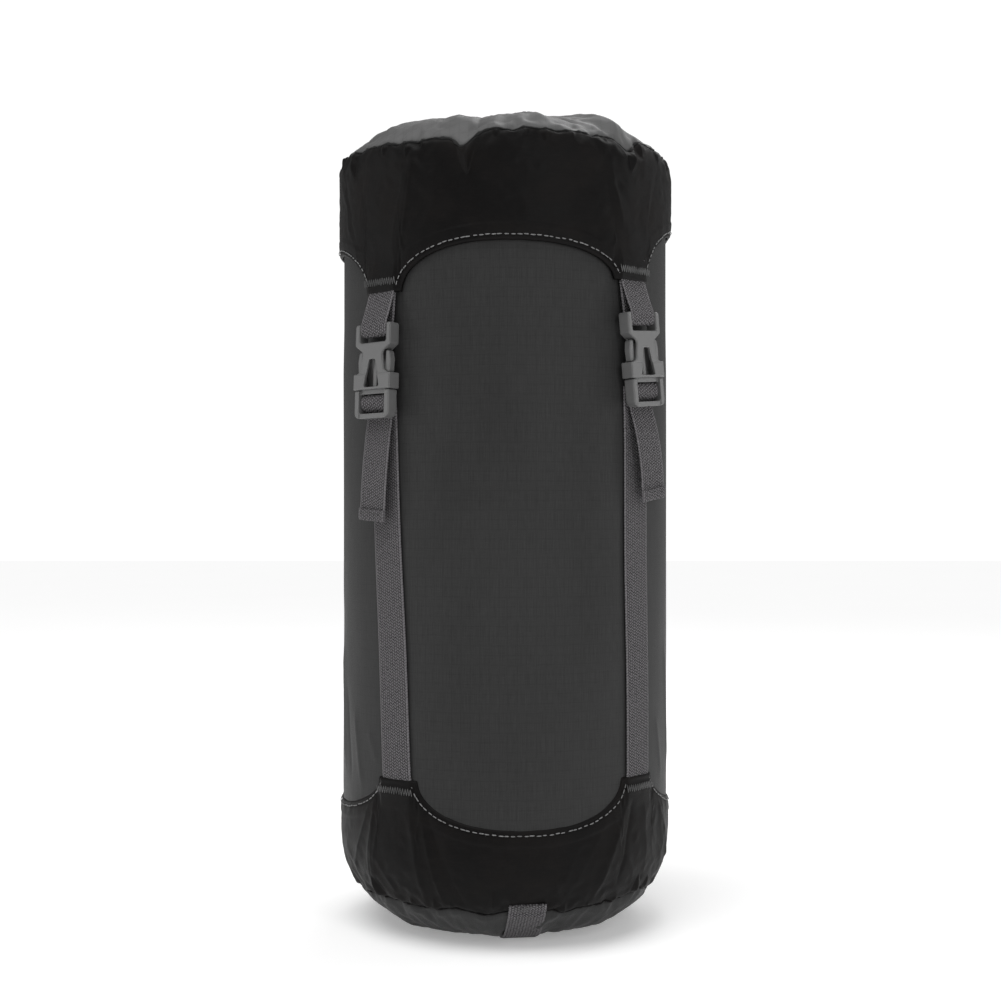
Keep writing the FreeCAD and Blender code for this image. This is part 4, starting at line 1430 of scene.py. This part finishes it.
def anchor_piece(name):
    """Webbing doubled round the bar of the socket; both ends go up under the lid's tab."""
    fact = FACTS[name]
    tab = fact["lid_tab"]
    azimuth = fact["lid"]
    heights = np.array([tab + 1 * MM, tab + 6 * MM, tab + 12 * MM])
    ends = [lid_skin(np.array([azimuth] * 3), heights, (lift - 2.05) * MM) for lift in (0.62, 1.68)]
    back = [(0, 0.7, 48.5), (0, 0.85, 46.0), (0, 1.0, 43.4)]
    front = [(0, 5.75, 43.4), (0, 5.95, 46.0), (0, 5.2, 50.0), (0, 3.6, 55.0)]
    under = [(0, 1.5, 42.2), (0, 3.3, 41.8), (0, 5.1, 42.2)]
    route = np.concatenate([ends[0][::-1], in_buckle(fact, back + under + front), ends[1]])
    points = spline(route, 1.0 * MM)
    lid_across = np.array([math.cos(azimuth), math.sin(azimuth), 0])
    share = np.clip((points[:, 2] - fact["origin"][2] - 46 * MM) / (16 * MM), 0, 1)[:, None]
    across = fact["across"] * (1 - share) + lid_across * share
    loop = webbing("anchor_webbing_" + name, points, across)
    dressed(loop, "webbing", "lid", ["anchor_loop_" + name])


# Gathered mouth


def gathers(azimuth):
    """Uneven folds of the drawn-in mouth, from -1 to 1."""
    return np.sin(26 * azimuth + 2.2 * np.sin(3 * azimuth) + 1.4 * np.sin(5 * azimuth + 1))


def mouth_pieces():
    shoulder = 11 * MM
    centre_r = TUBE_R - shoulder
    centre_z = COLLAR_TOP - shoulder
    mouth_r = CHANNEL_R - 6 * MM
    azimuth = np.linspace(0, TAU, 2 * COLUMNS + 1)[None, :]
    arc = np.linspace(0, math.pi / 2, 12)
    top = np.linspace(centre_r, mouth_r, 46)[1:]
    radius = np.concatenate([[TUBE_R, TUBE_R], centre_r + shoulder * np.cos(arc), top])
    level = np.full(len(top), COLLAR_TOP)
    height = np.concatenate([[TUBE_TOP, TUBE_TOP + 1.5 * MM], centre_z + shoulder * np.sin(arc), level])
    share = np.clip((TUBE_R - radius) / (TUBE_R - mouth_r), 0, 1)[:, None]
    folds = gathers(azimuth) + 0.4 * np.sin(41 * azimuth)
    depth = 1.5 * MM * np.minimum(share * 3, 1) * (1 - 0.3 * share)
    z = height[:, None] + depth * (folds - 1.1) * np.clip(share * 8, 0, 1)
    azimuth, z = np.broadcast_arrays(azimuth, z)
    r = np.broadcast_to(radius[:, None], z.shape)
    outer = round_axis(r, azimuth, z)
    inner = round_axis(r - 0.3 * MM, azimuth, z - CLOTH_T)
    outer[:, -1] = outer[:, 0]
    inner[:, -1] = inner[:, 0]
    uv = np.stack([azimuth * TUBE_R, np.broadcast_to((height + TUBE_R - radius)[:, None], z.shape)], -1)
    collar = outward_faces(shell("mouth_collar_cloth", outer, inner, uv))
    dressed(collar, "ripstop", "collar", ["mouth_collar"])

    middle_r = CHANNEL_R - 3 * MM
    middle_z = (COLLAR_TOP + CHANNEL_TOP) / 2
    tube_a = np.linspace(0, TAU, 25)[:, None]
    azimuth = np.linspace(0, TAU, COLUMNS + 1)[None, :]
    ripple = 0.35 * gathers(azimuth)
    wide = (2.55 + ripple) * MM
    tall = (4.3 + 0.6 * ripple) * MM
    r = middle_r + wide * np.cos(tube_a)
    z = middle_z + tall * np.sin(tube_a)
    outer = round_axis(r, azimuth, z)
    columns = outer.shape[1] - 1
    rows = outer.shape[0] - 1
    verts = outer[:-1, :-1].reshape(-1, 3)
    faces = []
    for j in range(rows):
        for i in range(columns):
            a, b = j * columns + i, j * columns + (i + 1) % columns
            c, d = (j + 1) % rows * columns + (i + 1) % columns, (j + 1) % rows * columns + i
            faces.append((a, b, c, d))
    channel = outward_faces(new_piece("cord_channel_cloth", verts, faces, verts[:, :2]))
    dressed(channel, "ripstop", "collar", ["cord_channel"])


# Lid


def lid_pieces():
    azimuth, s = round_grid(lid_seam, LID_APEX_S - 0.6 * MM, 64)
    panel = sheet_on("lid_panel_cloth", lid_skin, azimuth, s, 0.0, 0.9 * MM, LID_R)
    dressed(close_centre(panel), "lid_fabric", "lid", ["lid_panel"])

    azimuth, s = round_grid(lid_hem, lid_seam, 70, columns=2 * COLUMNS)
    lift = hem_lift(square_distance(azimuth, s, lid_hem))
    lift = lift + over_webbing(azimuth, s, "lid", -1, 1.2 * MM)
    cuff = sheet_on("lid_cuff_cloth", lid_skin, azimuth, s, lift, CLOTH_T, LID_R)
    dressed(outward_faces(cuff), "cuff_fabric", "lid", ["lid_cuff"])
    declare_band(lid_hem, lid_seam)

    tape("lid_seam_tape", lid_skin, lid_seam, "lid", ["lid_seam_binding"])
    piping("lid_seam_edge", lid_skin, lid_seam, 0.15 * MM, 0.5 * MM, 9, "lid", "black_thread")
    topstitch("lid_topstitch", lid_skin, lid_hem, TOPSTITCH_INSET, 12, "lid")

    rows = []
    for number, name in enumerate(STRAPS):
        tab = FACTS[name]["lid_tab"]
        low, high = tab + 3.8 * MM, tab + 7.6 * MM
        rows.append(
            zigzag(lid_skin, FACTS[name]["lid"], TACK_WIDTH, low, high, 1.85 * MM, 30, LID_R, 10 + number)
        )
    tacks = stitches("lid_bartacks_thread", *together(rows), TACK_THREAD)
    dressed(tacks, "thread", "lid", ["lid_bartacks"], "bartack")


# Cord lock's spring


def spring_piece():
    """Coil spring of four turns, made at the length of the CAD spring; it does not shorten here as the
    plunger is pressed.
    """
    low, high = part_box("cord_lock_spring")
    wire = 0.35 * MM
    turns = np.linspace(0, 4 * TAU, 161)
    length = high.x - low.x
    coil = (high.z - low.z) / 2 - wire
    out = np.stack([0 * turns, np.cos(turns), np.sin(turns)], 1)
    path = out * coil + np.array([0, (low.y + high.y) / 2, (low.z + high.z) / 2])
    path[:, 0] = low.x + wire + (length - 2 * wire) * turns / turns[-1]
    tangent = unit_rows(np.gradient(path, axis=0))
    side = np.cross(tangent, out)
    sides = 10
    a = (np.arange(sides) * TAU / sides)[:, None]
    verts = (path[:, None] + wire * (out[:, None] * np.cos(a) + side[:, None] * np.sin(a))).reshape(-1, 3)
    faces = grid_faces(len(turns), sides, True)
    faces += [tuple(reversed(range(sides))), tuple(range(len(verts) - sides, len(verts)))]
    spring = outward_faces(new_piece("lock_spring_coil", verts, faces))
    dressed(spring, "spring_steel", "cord_lock", ["cord_lock_spring"])
    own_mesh(spring)


# Hard parts keep their CAD shape


def carried_over():
    for name in STRAPS:
        for kind in ("buckle_socket_", "buckle_plug_", "prong_left_", "prong_right_"):
            finish_node(kind + name, "buckle_plastic")
    finish_node("drawcord", "cord")
    finish_node("drawcord_knot", "cord")
    finish_node("cord_lock_barrel", "lock_plastic")
    finish_node("cord_lock_plunger", "lock_plastic")


def finish_node(node, slot):
    obj = frame["nodes"][node]
    obj.data.materials.clear()
    obj.data.materials.append(MATERIALS[slot])


# Camera, floor and light


def area_light(name, place, target, size, energy):
    light = bpy.data.lights.new(name, "AREA")
    light.shape = "RECTANGLE"
    light.size, light.size_y = size
    light.energy = energy
    obj = bpy.data.objects.new(name, light)
    obj.location = place
    obj.rotation_euler = (Vector(target) - Vector(place)).to_track_quat("-Z", "Y").to_euler()
    bpy.context.scene.collection.objects.link(obj)


def studio():
    scene = bpy.context.scene
    camera = bpy.data.cameras.new("camera")
    camera.lens = 55.4
    camera.sensor_width = 36.0
    camera.shift_y = 0.0175
    camera.shift_x = -0.0045
    rig = bpy.data.objects.new("camera", camera)
    rig.location = (0, -0.850, 0.218)
    rig.rotation_euler = (math.pi / 2, 0, 0)
    scene.collection.objects.link(rig)
    scene.camera = rig

    bpy.ops.mesh.primitive_plane_add(size=14, location=(0, 0, 0))
    floor = bpy.context.object
    floor.name = "floor"
    g = Graph("floor")
    cloudy = g.noise(g.place(), 3.0, 2.0)
    colour = g.mix(cloudy, grey(0.92), grey(0.94))
    made = g.finish(colour, 0.8, Specular_IOR_Level=0.0, Emission_Strength=0.26)
    g.shader.inputs["Emission Color"].default_value = (1, 1, 1, 1)
    floor.data.materials.append(made)

    sun = bpy.data.lights.new("overhead", "SUN")
    sun.energy = 1.5
    sun.angle = math.radians(44)
    overhead = bpy.data.objects.new("overhead", sun)
    overhead.rotation_euler = (math.radians(16), math.radians(-13), 0)
    scene.collection.objects.link(overhead)
    area_light("left_box", (-1.5, -0.1, 0.5), (0, 0, 0.22), (0.4, 1.2), 3)
    area_light("right_box", (1.5, 0.2, 0.5), (0, 0, 0.22), (0.3, 1.2), 3)
    area_light("back_box", (0.5, 0.8, 1.5), (0, 0, 0.4), (1.2, 0.8), 8)
    area_light("front_strip", (0.75, -1.3, 0.8), (0, 0, 0.22), (0.25, 1.0), 4)

    # dim surroundings light the sack, so that its folds show, and a white backdrop is seen behind it
    world = bpy.data.worlds.new("studio")
    scene.world = world
    world.use_nodes = True
    nodes, links = world.node_tree.nodes, world.node_tree.links
    dim = nodes["Background"]
    dim.inputs["Color"].default_value = (1, 1, 1, 1)
    dim.inputs["Strength"].default_value = 0.30
    white = nodes.new("ShaderNodeBackground")
    white.inputs["Color"].default_value = (1, 1, 1, 1)
    white.inputs["Strength"].default_value = 1.05
    path = nodes.new("ShaderNodeLightPath")
    mix = nodes.new("ShaderNodeMixShader")
    links.new(path.outputs["Is Camera Ray"], mix.inputs[0])
    links.new(dim.outputs[0], mix.inputs[1])
    links.new(white.outputs[0], mix.inputs[2])
    links.new(mix.outputs[0], nodes["World Output"].inputs["Surface"])
    scene.view_settings.view_transform = "Standard"


base_pieces()
handle_pieces()
tube_pieces()
mouth_pieces()
lid_pieces()
for strap_name in STRAPS:
    strap_pieces(strap_name)
    tail_piece(strap_name)
    anchor_piece(strap_name)
spring_piece()
carried_over()
studio()
